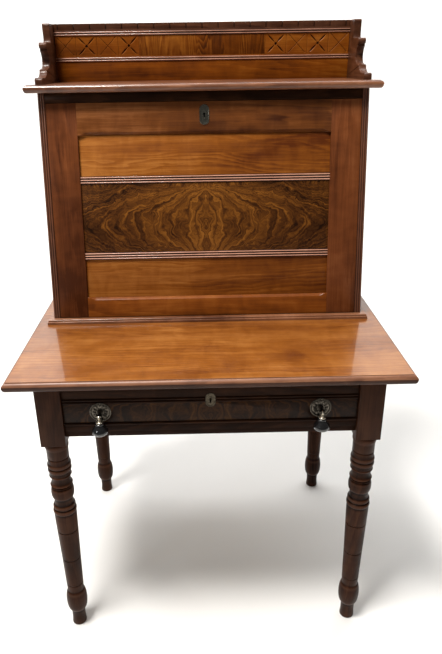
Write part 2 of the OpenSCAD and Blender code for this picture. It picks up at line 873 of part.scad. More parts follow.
module pivot_plate() {
    translate([fall_half - pivot_plate_t, pivot_up - 10, -pivot_in - pivot_plate_w / 2])
        cube([pivot_plate_t, pivot_plate_l, pivot_plate_w]);
}

module stile() {
    color(walnut) difference() {
        translate([open_half, 0, -fall_t]) cube([stile_w, fall_len, fall_t]);
        panel_blank();
        fall_tenon(0, bottom_rail_w);
        fall_tenon(panel_high, fall_len);
        pivot_plate();
    }
}

module fall_stile_right() { on_fall() stile(); }
module fall_stile_left() { on_fall() mirror([1, 0, 0]) stile(); }

// A triangular cutter along a rail's arris, with sloping ends
module stopped_chamfer(y) {
    half = open_half - chamfer_stop;
    side = chamfer * sqrt(2);
    translate([0, y, 0]) intersection() {
        rotate([45, 0, 0]) cube([2 * half, side, side], center = true);
        rotate([90, 0, 0]) linear_extrude(4 * chamfer, center = true) polygon([
            [-half, through], [half, through], [half - chamfer, -chamfer], [chamfer - half, -chamfer]
        ]);
    }
}

module fall_rail(low, high, arris) {
    difference() {
        union() {
            translate([-open_half, low, -fall_t]) cube([2 * open_half, high - low, fall_t]);
            mirrored_pair() fall_tenon(low, high);
        }
        panel_blank();
        stopped_chamfer(arris);
    }
}

fall_key_y = fall_len - 28;
fall_plate_h = 46;
fall_plate_w = 23;

module fall_lock_body() {
    translate([-lock_w / 2, fall_len - 6 - lock_h - 4, -fall_t]) cube([lock_w, lock_h, lock_t]);
}

module fall_key_bore() {
    translate([0, fall_key_y, -fall_t - through]) keyhole(fall_t + 2 * through);
}

module fall_top_rail() {
    color(walnut) on_fall() difference() {
        fall_rail(panel_high, fall_len, panel_high);
        fall_lock_body();
        fall_key_bore();
    }
}

module fall_bottom_rail() { color(walnut) on_fall() fall_rail(0, bottom_rail_w, bottom_rail_w); }

module fall_panel() { color(walnut) on_fall() panel_blank(); }

module fall_burl() {
    low = reed_low + reed_band;
    color(burl) on_fall() translate([-open_half, low, -panel_recess])
        cube([2 * open_half, reed_high - low, field_raise]);
}

// A flat strip with half-round reeds side by side along it
module reed_strip(low) {
    pitch = reed_band / reeds;
    translate([-open_half, low, -panel_recess]) {
        cube([2 * open_half, reed_band, field_raise]);
        for (i = [0:reeds - 1]) translate([0, (i + 0.5) * pitch, field_raise]) rotate([0, 90, 0])
            cylinder(r = pitch / 2 - 0.4, h = 2 * open_half);
    }
}

module reed_waste() {
    translate([-case_w, 0, -panel_recess - 20]) cube([2 * case_w, fall_len, 20]);
}

module fall_reeds() {
    color(walnut) on_fall() difference() {
        for (low = [reed_low, reed_high]) reed_strip(low);
        reed_waste();
    }
}

module fall_lock() {
    color(brass_tone) on_fall() difference() {
        fall_lock_body();
        translate([0, fall_key_y, -fall_t + lock_t / 2]) keyhole(lock_t);
    }
}

module fall_escutcheon() {
    color(brass_tone) on_fall() translate([0, fall_key_y - 2, 0]) key_plate(fall_plate_w, fall_plate_h);
}

module fall_pivots() {
    color(brass_tone) on_fall() mirrored_pair() {
        pivot_plate();
        along_x(fall_half - pivot_plate_t, pivot_up, -pivot_in, pivot_pin_r, pivot_plate_t + pivot_pin_l);
    }
}

// The plate in the cabinet's side that the pivot pin turns in
module socket_plate() {
    on_fall() translate([case_in_x, pivot_up - 10, -pivot_in - pivot_plate_w / 2])
        cube([socket_t, pivot_plate_l, pivot_plate_w]);
}

module pivot_sockets() {
    color(brass_tone) mirrored_pair() difference() {
        socket_plate();
        along_x(case_in_x - through, pivot_y, pivot_z, pivot_pin_r + pivot_clear, socket_t + 2 * through);
    }
}

// ---------------------------------------------------------------- stays

// The slotted stay at the right, drawn from its pin along Y and turned to its stud
module stay_bar() {
    slot_r = stud_r + stud_clear;
    translate([stay_x, stay_pin_y, stay_pin_z]) rotate([stay_angle, 0, 0]) difference() {
        union() {
            translate([0, 0, -stay_w / 2]) cube([stay_t, stay_slot_far, stay_w]);
            for (y = [0, stay_slot_far]) along_x(0, y, 0, stay_w / 2, stay_t);
        }
        along_x(-through, 0, 0, stay_pin_r + pin_clear, stay_t + 2 * through);
        for (y = [stay_slot_near, stay_slot_far]) along_x(-through, y, 0, slot_r, stay_t + 2 * through);
        translate([-through, stay_slot_near, -slot_r])
            cube([stay_t + 2 * through, stay_slot_far - stay_slot_near, 2 * slot_r]);
    }
}

module stay_bar_right() { color(brass_tone) stay_bar(); }
module stay_bar_left() { color(brass_tone) mirror([1, 0, 0]) stay_bar(); }

// The ear on the fall's inner face that carries the stay's pin
module stay_ears() {
    ear_h = 3;
    ear_r = 6;
    ear_x = stay_x - gap - ear_h;
    color(brass_tone) on_fall() mirrored_pair() {
        translate([ear_x - 14, stay_pin_u - 13, -fall_t - 2]) cube([14 + ear_h, 26, 2]);
        translate([ear_x, stay_pin_u - ear_r, stay_pin_v]) cube([ear_h, 2 * ear_r, ear_out]);
        along_x(ear_x, stay_pin_u, stay_pin_v, ear_r, ear_h);
        along_x(ear_x, stay_pin_u, stay_pin_v, stay_pin_r, ear_h + gap + stay_t + 1);
        along_x(stay_x + stay_t + gap, stay_pin_u, stay_pin_v, stay_pin_r + 1.2, 1);
    }
}

// The headed stud on the cabinet's side that runs in the stay's slot
module stay_studs() {
    foot_t = 2;
    head_t = 2;
    outer = stay_x + stay_t + gap;
    color(brass_tone) mirrored_pair() {
        along_x(case_in_x - foot_t, stud_y, stud_z, 9, foot_t);
        along_x(outer, stud_y, stud_z, stud_r + 1.5, case_in_x - outer);
        along_x(stay_x - gap - head_t, stud_y, stud_z, stud_r, case_in_x - stay_x + gap + head_t);
        along_x(stay_x - gap - head_t, stud_y, stud_z, stud_r + 2.5, head_t);
    }
}

// ---------------------------------------------------------------- writing fitment

module fitment_ends() {
    color(walnut) mirrored_pair() translate([fitment_half - end_t, fitment_y, floor_top])
        cube([end_t, fitment_d, high_shelf_z + board_t - floor_top]);
}

module fitment_shelves() {
    half = fitment_half - end_t;
    color(walnut) for (z = [low_shelf_z, high_shelf_z])
        translate([-half, fitment_y, z]) cube([2 * half, fitment_d, board_t]);
}

// Partitions between the pigeonholes, and the two beside the open bay under them
module fitment_dividers() {
    width = 2 * (fitment_half - end_t);
    pitch = (width + board_t) / holes;
    dip_r = 55;
    color(walnut) {
        for (i = [1:holes - 1]) translate([-width / 2 + i * pitch - board_t, fitment_y, low_shelf_z + board_t])
            difference() {
                cube([board_t, fitment_d, hole_h]);
                along_x(-through, -dip_r + 14, hole_h / 2, dip_r, board_t + 2 * through);
            }
        mirrored_pair() translate([small_half, fitment_y, floor_top]) cube([board_t, fitment_d, low_row_h]);
    }
}

small_z0 = floor_top + gap;

// Parts of the small drawer at the right
module small_front() {
    translate([small_x - small_w / 2, fitment_y, small_z0]) cube([small_w, small_front_t, small_h]);
}

module small_box() {
    inner_w = small_w - 2 * small_side_t;
    length = small_d - small_front_t;
    translate([small_x - small_w / 2, fitment_y + small_front_t, small_z0]) difference() {
        cube([small_w, length, small_h - 2]);
        translate([small_side_t, -through, 5]) cube([inner_w, length - small_side_t + through, small_h]);
    }
}

knob_profile = concat(
    [[0, 0], [6, 0], [6, 1], [3, 2.5], [2.6, 5]],
    arc(0, 8.6, 6.2, 4.2, -55, 75, 7),
    [[0, knob_l]]
);

module small_knob() {
    translate([small_x, fitment_y, small_z0 + small_h / 2]) rotate([90, 0, 0])
        rotate_extrude() polygon(knob_profile);
}

module small_drawer_right_front() { color(walnut) small_front(); }
module small_drawer_right_box() { color(poplar) small_box(); }
module small_drawer_right_knob() { color(brass_tone) small_knob(); }
module small_drawer_left_front() { color(walnut) mirror([1, 0, 0]) small_front(); }
module small_drawer_left_box() { color(poplar) mirror([1, 0, 0]) small_box(); }
module small_drawer_left_knob() { color(brass_tone) mirror([1, 0, 0]) small_knob(); }

// ---------------------------------------------------------------- what is drawn

leg_front_left();
leg_front_right();
leg_back_left();
leg_back_right();
apron_left();
apron_right();
apron_back();
front_top_rail();
drawer_rail();
drawer_runners();
drawer_kickers();
table_top();
table_screws();
drawer_front();
drawer_burl();
drawer_beading();
drawer_sides();
drawer_back();
drawer_bottom();
drawer_lock();
drawer_escutcheon();
pull_plates();
pull_shank_left();
pull_shank_right();
pull_drop_left();
pull_drop_right();
case_side_left();
case_side_right();
case_floor();
case_back();
case_top_rail();
base_mould();
cornice();
gallery_back();
gallery_burl();
gallery_brackets();
fall_stile_left();
fall_stile_right();
fall_top_rail();
fall_bottom_rail();
fall_panel();
fall_burl();
fall_reeds();
fall_lock();
fall_escutcheon();
fall_pivots();
pivot_sockets();
stay_bar_left();
stay_bar_right();
stay_ears();
stay_studs();
fitment_ends();
fitment_shelves();
fitment_dividers();
small_drawer_left_front();
small_drawer_left_box();
small_drawer_left_knob();
small_drawer_right_front();
small_drawer_right_box();
small_drawer_right_knob();
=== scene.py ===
"""Looks of a fall-front secretary desk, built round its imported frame.

Each sub-assembly of the desk is a class that works out its pieces as numpy grids and
dresses them. Lengths are in metres, in the frame's own axes: X to the right, Y to the
back, Z up.
"""

import logging
import math
from dataclasses import dataclass
from enum import Enum
from typing import Callable, Iterable, Union

import bmesh
import bpy
import numpy as np
from mathutils import Matrix, Vector


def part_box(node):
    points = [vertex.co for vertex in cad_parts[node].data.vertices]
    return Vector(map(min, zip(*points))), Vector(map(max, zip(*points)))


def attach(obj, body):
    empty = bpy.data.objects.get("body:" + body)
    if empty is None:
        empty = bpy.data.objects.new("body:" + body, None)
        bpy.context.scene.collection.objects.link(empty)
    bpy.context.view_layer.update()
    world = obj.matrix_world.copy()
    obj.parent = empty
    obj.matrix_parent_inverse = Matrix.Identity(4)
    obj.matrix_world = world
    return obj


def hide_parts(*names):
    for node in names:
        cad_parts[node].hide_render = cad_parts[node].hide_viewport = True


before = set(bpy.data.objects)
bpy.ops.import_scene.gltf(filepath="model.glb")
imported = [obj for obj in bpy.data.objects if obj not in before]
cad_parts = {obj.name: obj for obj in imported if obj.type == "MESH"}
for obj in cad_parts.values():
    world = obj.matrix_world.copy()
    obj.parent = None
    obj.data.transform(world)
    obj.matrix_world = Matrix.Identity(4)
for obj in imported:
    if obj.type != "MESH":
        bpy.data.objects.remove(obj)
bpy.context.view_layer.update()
LOG = logging.getLogger("desk")
MM = 0.001
Input = Union[bpy.types.NodeSocket, float, tuple[float, ...]]


# ---------------------------------------------------------------- shapes

@dataclass
class Solid:
    """Points and faces of one closed shape, with the wood's own coordinates.

    Attributes:
        points: one row for each vertex.
        faces: index tuples.
        local: the same points in the frame that the piece was drawn in.
        wear_and_shading: 1 in a hollow, darkened as dirt and painted shade; -1 on a proud edge or crest, paled as
            rubbing and painted highlight; 0 elsewhere.
    """

    points: np.ndarray
    faces: list[tuple[int, ...]]
    local: np.ndarray
    wear_and_shading: np.ndarray | None = None


def lofted(rings: np.ndarray, capped: bool = True) -> Solid:
    """Joins a stack of closed rings into one surface.

    Vertex (i, j) is point j of ring i; each quad spans two rings and two neighbours
    round the ring. The end rings are closed with one face each, or, uncapped, joined to
    each other.

    Args:
        rings: array of shape (rings, points, 3).
        capped: False joins the last ring to the first.

    Returns:
        The closed surface.
    """
    count, size = rings.shape[:2]
    index = np.arange(count * size).reshape(count, size)
    lower = index[:-1] if capped else index
    upper = index[1:] if capped else np.roll(index, -1, axis=0)
    quads = np.stack([lower, np.roll(lower, -1, axis=1), np.roll(upper, -1, axis=1), upper], axis=-1)
    faces = [tuple(q) for q in quads.reshape(-1, 4).tolist()]
    if capped:
        faces.append(tuple(index[0, ::-1].tolist()))
        faces.append(tuple(index[-1].tolist()))
    points = rings.reshape(-1, 3)
    return Solid(points, faces, points.copy())


def joined(solids: Iterable[Solid]) -> Solid:
    """Puts several solids into one.

    Args:
        solids: the solids.

    Returns:
        One solid with all their points, faces, and wear and painted shading values.
    """
    points, faces, local, wear_and_shading, start = [], [], [], [], 0
    for solid in solids:
        points.append(solid.points)
        local.append(solid.local)
        wear_and_shading.append(np.zeros(len(solid.points)) if solid.wear_and_shading is None else solid.wear_and_shading)
        faces += [tuple(i + start for i in face) for face in solid.faces]
        start += len(solid.points)
    return Solid(np.concatenate(points), faces, np.concatenate(local), np.concatenate(wear_and_shading))


def arc(centre: tuple[float, float], radii: tuple[float, float], start: float, end: float,
        steps: int) -> np.ndarray:
    """Points of an elliptic arc: centre + radii * (cos a, sin a), a from start to end degrees."""
    angle = np.radians(np.linspace(start, end, steps + 1))
    return np.stack([centre[0] + radii[0] * np.cos(angle), centre[1] + radii[1] * np.sin(angle)], axis=1)


def rectangle(low: tuple[float, float], high: tuple[float, float]) -> np.ndarray:
    """The four corners of a rectangle, anticlockwise."""
    return np.array([[low[0], low[1]], [high[0], low[1]], [high[0], high[1]], [low[0], high[1]]])


def inset(outline: np.ndarray, distance: float) -> np.ndarray:
    """An anticlockwise outline moved inwards.

    Each corner goes along the sum of its two sides' inward normals, divided by one plus
    their dot product, so that both sides move by the same distance.

    Args:
        outline: its points.
        distance: how far each side moves.

    Returns:
        The moved points.
    """
    before = outline - np.roll(outline, 1, axis=0)
    after = np.roll(outline, -1, axis=0) - outline
    before = before / np.linalg.norm(before, axis=1, keepdims=True)
    after = after / np.linalg.norm(after, axis=1, keepdims=True)
    n_before = np.stack([-before[:, 1], before[:, 0]], axis=1)
    n_after = np.stack([-after[:, 1], after[:, 0]], axis=1)
    scale = 1 + np.sum(n_before * n_after, axis=1, keepdims=True)
    return outline + distance * (n_before + n_after) / np.maximum(scale, 0.35)


def softened(outline: np.ndarray, radius: float) -> np.ndarray:
    """An outline whose corners are each cut by three points on a small arc.

    Args:
        outline: its points.
        radius: how far from a corner the cut begins.

    Returns:
        Three points for each corner.
    """
    before = np.roll(outline, 1, axis=0) - outline
    after = np.roll(outline, -1, axis=0) - outline
    reach_before = np.minimum(radius / np.linalg.norm(before, axis=1, keepdims=True), 0.4)
    reach_after = np.minimum(radius / np.linalg.norm(after, axis=1, keepdims=True), 0.4)
    first, last = outline + before * reach_before, outline + after * reach_after
    middle = 0.25 * first + 0.25 * last + 0.5 * outline
    return np.stack([first, middle, last], axis=1).reshape(-1, 2)


class Run(Enum):
    """The axis that a section is carried along, with the axes of its own two columns."""

    X = (0, 1, 2)
    Z = (2, 0, 1)


def section_run(outline: np.ndarray, start: float, end: float, run: Run, arris: float = 0.6 * MM) -> Solid:
    """Carries an outline along an axis and rounds the arrises at both ends.

    Ring k lies at a depth of arris * (1 - cos a) from the end and is inset by
    arris * (1 - sin a), for a from 0 to 90 degrees, so that the end's arris is a quarter
    round.

    Args:
        outline: anticlockwise points in the two other axes.
        start: where the run begins.
        end: where it ends.
        run: the axis of the run.
        arris: radius of the rounding at the two ends.

    Returns:
        The closed run.
    """
    turns = np.radians(np.array([0.0, 30.0, 60.0, 90.0]))
    depths, insets = arris * (1 - np.cos(turns)), arris * (1 - np.sin(turns))
    stations = [(start + d, i) for d, i in zip(depths, insets)]
    stations += [(end - d, i) for d, i in zip(depths[::-1], insets[::-1])]
    axis, first, second = run.value
    rings = np.empty((len(stations), len(outline), 3))
    for ring, (depth, amount) in zip(rings, stations):
        flat = inset(outline, amount)
        ring[:, axis], ring[:, first], ring[:, second] = depth, flat[:, 0], flat[:, 1]
    return lofted(rings)


def board(low: Iterable[float], high: Iterable[float], arris: float = 0.7 * MM) -> Solid:
    """A box with every arris rounded, from its lowest to its highest corner.

    Args:
        low: the lowest corner.
        high: the highest corner.
        arris: radius of the rounding.

    Returns:
        The closed board.
    """
    low, high = np.array(low, float), np.array(high, float)
    outline = softened(rectangle((low[1], low[2]), (high[1], high[2])), arris)
    return section_run(outline, low[0], high[0], Run.X, arris)


def turned(profile: np.ndarray, centre: Iterable[float], sides: int = 48,
           toward: Vector = Vector((0, 0, 1))) -> Solid:
    """A turned shape: point (i, j) is radius i round the axis at angle j, at height i.

    Args:
        profile: rows of radius and height.
        centre: where height 0 of the axis lies.
        sides: points round the axis.
        toward: the axis's direction.

    Returns:
        The closed turning, with its wear and painted shading.
    """
    angle = np.linspace(0, 2 * math.pi, sides, endpoint=False)
    radius, height = np.maximum(profile[:, :1], 0.02 * MM), profile[:, 1:]
    rings = np.stack([radius * np.cos(angle), radius * np.sin(angle), height + 0 * angle], axis=-1)
    turn = np.array(toward.to_track_quat("Z", "Y").to_matrix())
    solid = lofted(rings)
    solid.points = solid.points @ turn.T + np.array(list(centre))
    solid.wear_and_shading = np.repeat(turning_wear_and_shading(profile), sides)
    return solid


def turning_wear_and_shading(profile: np.ndarray, window: float = 7 * MM) -> np.ndarray:
    """Where a turning is hollow or proud, for dirt and painted shade in its hollows and rubbing and painted highlight
    on its beads.

    The radius at each row is set against the mean radius within a window of height round
    it; a millimetre less counts as a full hollow.

    Args:
        profile: rows of radius and height.
        window: height over which the mean is taken.

    Returns:
        The wear and painted shading at each row.
    """
    height, radius = profile[:, 1], profile[:, 0]
    near = np.abs(height[:, None] - height[None]) < window
    spread = np.gradient(height) + 0.2 * MM
    weight = near * np.maximum(spread, 0.05 * MM)[None]
    mean = (weight * radius[None]).sum(axis=1) / weight.sum(axis=1)
    return np.clip((mean - radius) / (1.3 * MM), -0.7, 1.0)


def half_round_band(low: float, width: float, count: int, height: float, groove: float) -> np.ndarray:
    """Outline of half-round reeds side by side: columns are depth (outwards) and height up the band.

    Reed k is an arc over its own share of the width, less the groove between reeds.

    Args:
        low: height of the lowest reed's edge.
        width: width of all the reeds.
        count: number of reeds.
        height: how far they stand out.
        groove: width left between two.

    Returns:
        The outline.
    """
    pitch = width / count
    back = -2.5 * MM
    rows = [np.array([[back, low], [0, low]])]
    for k in range(count):
        middle = low + (k + 0.5) * pitch
        rows.append(arc((0, middle), (height, (pitch - groove) / 2), -90, 90, 10))
    rows.append(np.array([[0, low + width], [back, low + width]]))
    return np.concatenate(rows)


# ---------------------------------------------------------------- grain and pieces

class Body(str, Enum):
    """The rigid bodies that pieces ride on."""

    CARCASE = "carcase"
    DRAWER = "drawer"
    PULL_LEFT = "pull_left"
    PULL_RIGHT = "pull_right"
    FALL = "fall"
    SMALL_LEFT = "small_drawer_left"
    SMALL_RIGHT = "small_drawer_right"


class Slot(str, Enum):
    """The record's material slots."""

    WALNUT = "walnut"
    DARK = "dark_walnut"
    TOP = "top_walnut"
    SECONDARY = "secondary_wood"
    BURL = "burl_veneer"
    EBONY = "ebonised_wood"
    BRASS = "aged_brass"
    STEEL = "steel"


@dataclass(frozen=True)
class Grain:
    """How a board lies in its log.

    Attributes:
        along: axis of the piece's local frame that the fibres follow.
        face: axis that points out of the board's broad face.
        seed: which stretch of the log it was cut from.
        tilt: how much darker it grows with each metre along the fibres; on the fall's panel a painted falloff of
            light, on its top rail a painted shadow.
        shade: how much darker it is all over.
    """

    along: int
    face: int
    seed: int = 1
    tilt: float = 0.0
    shade: float = 0.0

    def coordinates(self, local: np.ndarray) -> np.ndarray:
        """Wood coordinates: along the fibres, across the face from its middle, and through.

        Args:
            local: points as the piece was drawn.

        Returns:
            One row for each point.
        """
        across = 3 - self.along - self.face
        shift = np.array([math.fmod(self.seed * 1.618, 9.0), 0.03 * math.sin(self.seed * 2.4), self.seed * 0.17])
        return self.centred(local)[:, [self.along, across, self.face]] + shift

    def tone(self, local: np.ndarray) -> np.ndarray:
        """How much darker each point is: shade + tilt * distance along the fibres from the middle."""
        return self.shade + self.tilt * self.centred(local)[:, self.along]

    def centred(self, local: np.ndarray) -> np.ndarray:
        """Points measured from the middle of their box."""
        return local - (local.min(axis=0) + local.max(axis=0)) / 2


def outward_mesh(name: str, solid: Solid) -> bpy.types.Mesh:
    """Makes a mesh of a solid, with its faces turned outwards.

    Args:
        name: the mesh's name.
        solid: its shape.

    Returns:
        The mesh.
    """
    mesh = bpy.data.meshes.new(name)
    mesh.from_pydata(solid.points.tolist(), [], solid.faces)
    shape = bmesh.new()
    shape.from_mesh(mesh)
    bmesh.ops.recalc_face_normals(shape, faces=shape.faces)
    shape.to_mesh(mesh)
    shape.free()
    return mesh


def shown(name: str, data: bpy.types.ID | None) -> bpy.types.Object:
    """Makes an object and links it to the scene.

    Args:
        name: the object's name.
        data: its mesh, lamp or lens.

    Returns:
        The object.
    """
    thing = bpy.data.objects.new(name, data)
    bpy.context.scene.collection.objects.link(thing)
    return thing


def make_piece(name: str, solid: Solid, finish: bpy.types.Material, body: Body,
               grain: Grain | None = None, nodes: Iterable[str] = (), smooth: float = 29.0) -> bpy.types.Object:
    """Turns a solid into an object that rides on a body.

    Args:
        name: the piece's name.
        solid: its shape.
        finish: its material.
        body: what it moves with.
        grain: how its wood lies; None leaves out the wood's coordinates.
        nodes: CAD nodes that it stands for.
        smooth: faces that meet at less than this angle, in degrees, are shaded as one.

    Returns:
        The object.
    """
    mesh = outward_mesh(name, solid)
    if grain is not None:
        # The third attribute holds dirt and painted shade in hollows, and rubbing and painted highlight on proud
        # edges.
        wear_and_shading = np.zeros(len(solid.points)) if solid.wear_and_shading is None else solid.wear_and_shading
        for label, kind, key, values in (("grain", "FLOAT_VECTOR", "vector", grain.coordinates(solid.local)),
                                         ("tone", "FLOAT", "value", grain.tone(solid.local)),
                                         ("wear_and_shading", "FLOAT", "value", wear_and_shading)):
            layer = mesh.attributes.new(label, kind, "POINT")
            layer.data.foreach_set(key, values.astype(np.float32).ravel())
    mesh.shade_smooth()
    mesh.set_sharp_from_angle(angle=math.radians(smooth))
    mesh.materials.append(finish)
    piece = shown(name, mesh)
    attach(piece, body.value)
    if nodes:
        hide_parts(*nodes)
    LOG.info("%s: %d vertices", name, len(mesh.vertices))
    return piece


# ---------------------------------------------------------------- finishes

class Graph:
    """Adds nodes to a tree and links them."""

    def __init__(self, tree: bpy.types.NodeTree) -> None:
        self.tree = tree

    def add(self, kind: str, links: dict | None = None, **settings) -> bpy.types.Node:
        """Adds a node.

        Args:
            kind: the node's type, without its ShaderNode prefix.
            links: input name or number to a socket or a constant.
            settings: attributes of the node.

        Returns:
            The node.
        """
        node = self.tree.nodes.new("ShaderNode" + kind)
        for key, value in settings.items():
            setattr(node, key, value)
        self.feed(node, links or {})
        return node

    def feed(self, node: bpy.types.Node, links: dict) -> None:
        """Links or sets a node's inputs.

        Args:
            node: the node.
            links: input name or number to a socket or a constant.
        """
        for key, value in links.items():
            if isinstance(value, bpy.types.NodeSocket):
                self.tree.links.new(value, node.inputs[key])
            else:
                node.inputs[key].default_value = value

    def attribute(self, name: str, output: str = "Fac") -> bpy.types.NodeSocket:
        """A value that the mesh carries."""
        return self.add("Attribute", attribute_name=name, attribute_type="GEOMETRY").outputs[output]

    def about_half(self, socket: Input, strength: float) -> bpy.types.NodeSocket:
        """A noise's distance from one half, times a strength."""
        return self.math("MULTIPLY", self.math("SUBTRACT", socket, 0.5), strength)

    def math(self, operation: str, first: Input, second: Input = 0.0, third: Input = 0.0,
             clamp: bool = False) -> bpy.types.NodeSocket:
        """The result of one Math node."""
        return self.add("Math", {0: first, 1: second, 2: third}, operation=operation, use_clamp=clamp).outputs[0]

    def scaled(self, vector: Input, factors: tuple[float, float, float]) -> bpy.types.NodeSocket:
        """A vector times three factors."""
        return self.add("VectorMath", {0: vector, 1: factors}, operation="MULTIPLY").outputs[0]

    def noise(self, vector: Input, scale: float, detail: float = 3.0, roughness: float = 0.5,
              distortion: float = 0.0) -> bpy.types.Node:
        """A Noise node."""
        return self.add("TexNoise", {"Vector": vector, "Scale": scale, "Detail": detail,
                                     "Roughness": roughness, "Distortion": distortion})

    def ramp(self, value: Input, stops: list[tuple[float, tuple[float, ...]]],
             blend: str = "EASE") -> bpy.types.NodeSocket:
        """A colour ramp through stops of position and colour.

        Args:
            value: what it reads.
            stops: positions and colours.
            blend: how it passes between them.

        Returns:
            The colour.
        """
        node = self.add("ValToRGB", {0: value})
        node.color_ramp.interpolation = blend
        elements = node.color_ramp.elements
        while len(elements) < len(stops):
            elements.new(0.5)
        for element, (position, colour) in zip(elements, stops):
            element.position = position
            element.color = (*colour, 1.0)
        return node.outputs[0]

    def mask(self, value: Input, low: float, high: float) -> bpy.types.NodeSocket:
        """0 below low, 1 above high, smooth between."""
        return self.add("MapRange", {"Value": value, "From Min": low, "From Max": high},
                        interpolation_type="SMOOTHSTEP").outputs[0]

    def mix(self, factor: Input, first: Input, second: Input, blend: str = "MIX") -> bpy.types.NodeSocket:
        """Mixes two colours."""
        node = self.add("Mix", {0: factor, 6: first, 7: second}, data_type="RGBA", blend_type=blend)
        return node.outputs[2]


def new_material(name: str) -> tuple[bpy.types.Material, Graph, bpy.types.Node]:
    """Makes a material, and gives it with its graph and its Principled shader.

    Args:
        name: its name.

    Returns:
        The material, its graph and its Principled shader.
    """
    material = bpy.data.materials.new(name)
    material.use_nodes = True
    return material, Graph(material.node_tree), material.node_tree.nodes["Principled BSDF"]


def new_group(name: str, inputs: dict[str, tuple[str, object]], outputs: dict[str, str]) -> tuple:
    """Makes an empty shader group.

    Args:
        name: the group's name.
        inputs: socket name to its type and default.
        outputs: socket name to its type.

    Returns:
        The tree, its graph, the group's input node and its output node.
    """
    tree = bpy.data.node_groups.new(name, "ShaderNodeTree")
    for label, (kind, default) in inputs.items():
        socket = tree.interface.new_socket(label, in_out="INPUT", socket_type=kind)
        if default is not None:
            socket.default_value = default
    for label, kind in outputs.items():
        tree.interface.new_socket(label, in_out="OUTPUT", socket_type=kind)
    return tree, Graph(tree), tree.nodes.new("NodeGroupInput"), tree.nodes.new("NodeGroupOutput")


def wood_figure_group() -> bpy.types.NodeTree:
    """Growth rings, fibres and pores of a sawn board.

    The rings are shells round the log's heart: the distance from an axis below the face,
    bent by slow noise that runs along the board, cut into a repeating ramp that fades in
    and out. Fibres and pores are noise drawn out along the board. Tone gathers them about
    one half.

    Returns:
        The group.
    """
    tree, g, source, sink = new_group("WoodFigure", {
        "Coordinates": ("NodeSocketVector", None), "Ring Spacing": ("NodeSocketFloat", 0.009),
        "Waviness": ("NodeSocketFloat", 1.0), "Ring Strength": ("NodeSocketFloat", 0.2),
    }, {"Tone": "NodeSocketFloat", "Fibres": "NodeSocketFloat", "Pores": "NodeSocketFloat"})
    coords = source.outputs["Coordinates"]
    slow = g.noise(g.scaled(coords, (1.7, 8.0, 4.0)), 1.0, 3.0, 0.55, 0.5)
    bend = g.math("MULTIPLY", g.math("SUBTRACT", slow.outputs[0], 0.5), source.outputs["Waviness"])
    parts = g.add("SeparateXYZ", {0: coords})
    across = g.math("ADD", parts.outputs[1], g.math("MULTIPLY", bend, 0.06))
    depth = g.math("MULTIPLY_ADD", g.math("SINE", g.math("MULTIPLY", parts.outputs[0], 2.9)), 0.04, 0.07)
    distance = g.math("SQRT", g.math("ADD", g.math("MULTIPLY", across, across), g.math("MULTIPLY", depth, depth)))
    ripple = g.noise(g.scaled(coords, (9.0, 90.0, 40.0)), 1.0, 4.0, 0.6)
    count = g.math("ADD", g.math("DIVIDE", distance, source.outputs["Ring Spacing"]),
                   g.math("MULTIPLY", ripple.outputs[0], 1.6))
    phase = g.math("FRACT", count)
    rings = g.math("MULTIPLY", g.mask(phase, 0.0, 0.8), g.math("SUBTRACT", 1.0, g.mask(phase, 0.84, 1.0)))
    fade = g.noise(g.scaled(coords, (4.0, 22.0, 9.0)), 1.0, 2.0, 0.5)
    rings = g.math("MULTIPLY", g.math("SUBTRACT", rings, 0.45), g.mask(fade.outputs[0], 0.36, 0.62))
    fibres = g.noise(g.scaled(coords, (7.0, 330.0, 330.0)), 1.0, 6.0, 0.68)
    streaks = g.noise(g.scaled(coords, (2.6, 46.0, 30.0)), 1.0, 4.0, 0.6, 0.3)
    curl = g.noise(g.scaled(coords, (34.0, 15.0, 15.0)), 1.0, 2.0, 0.5, 0.8)
    pores = g.noise(g.scaled(coords, (75.0, 1500.0, 1500.0)), 1.0, 2.0, 0.5)
    drift = g.noise(g.scaled(coords, (3.4, 9.0, 3.0)), 1.0, 3.0, 0.55, 0.6)
    tone = g.math("MULTIPLY_ADD", rings, source.outputs["Ring Strength"], 0.5)
    for noise, strength in ((fibres, 0.36), (streaks, 0.34), (curl, 0.22), (drift, 0.80)):
        tone = g.math("ADD", tone, g.about_half(noise.outputs[0], strength))
    g.feed(sink, {"Tone": tone, "Fibres": fibres.outputs[0], "Pores": g.mask(pores.outputs[0], 0.60, 0.72)})
    return tree


def wear_group() -> bpy.types.NodeTree:
    """Patchy wear and dust of an old varnish, as masks that change over the surface.

    Returns:
        The group.
    """
    tree, g, source, sink = new_group("VarnishWear", {"Coordinates": ("NodeSocketVector", None)},
                                      {"Patches": "NodeSocketFloat", "Scratches": "NodeSocketFloat"})
    coords = source.outputs["Coordinates"]
    patches = g.noise(coords, 14.0, 5.0, 0.65)
    turned_coords = g.add("Mapping", {"Vector": coords, "Rotation": (0.0, 0.0, 0.7), "Scale": (9.0, 420.0, 420.0)})
    fine = g.noise(turned_coords.outputs[0], 1.0, 2.0, 0.5, 1.2)
    g.feed(sink, {"Patches": g.mask(patches.outputs[0], 0.42, 0.66),
                  "Scratches": g.mask(fine.outputs[0], 0.66, 0.73)})
    return tree


class Coordinates(Enum):
    """Where a wood finish takes its coordinates from."""

    BOARD = "the piece's own grain attribute"
    ALONG_X = (0.0, 0.0, 0.0)
    ALONG_Y = (0.0, 0.0, -math.pi / 2)
    ALONG_Z = (0.0, math.pi / 2, 0.0)


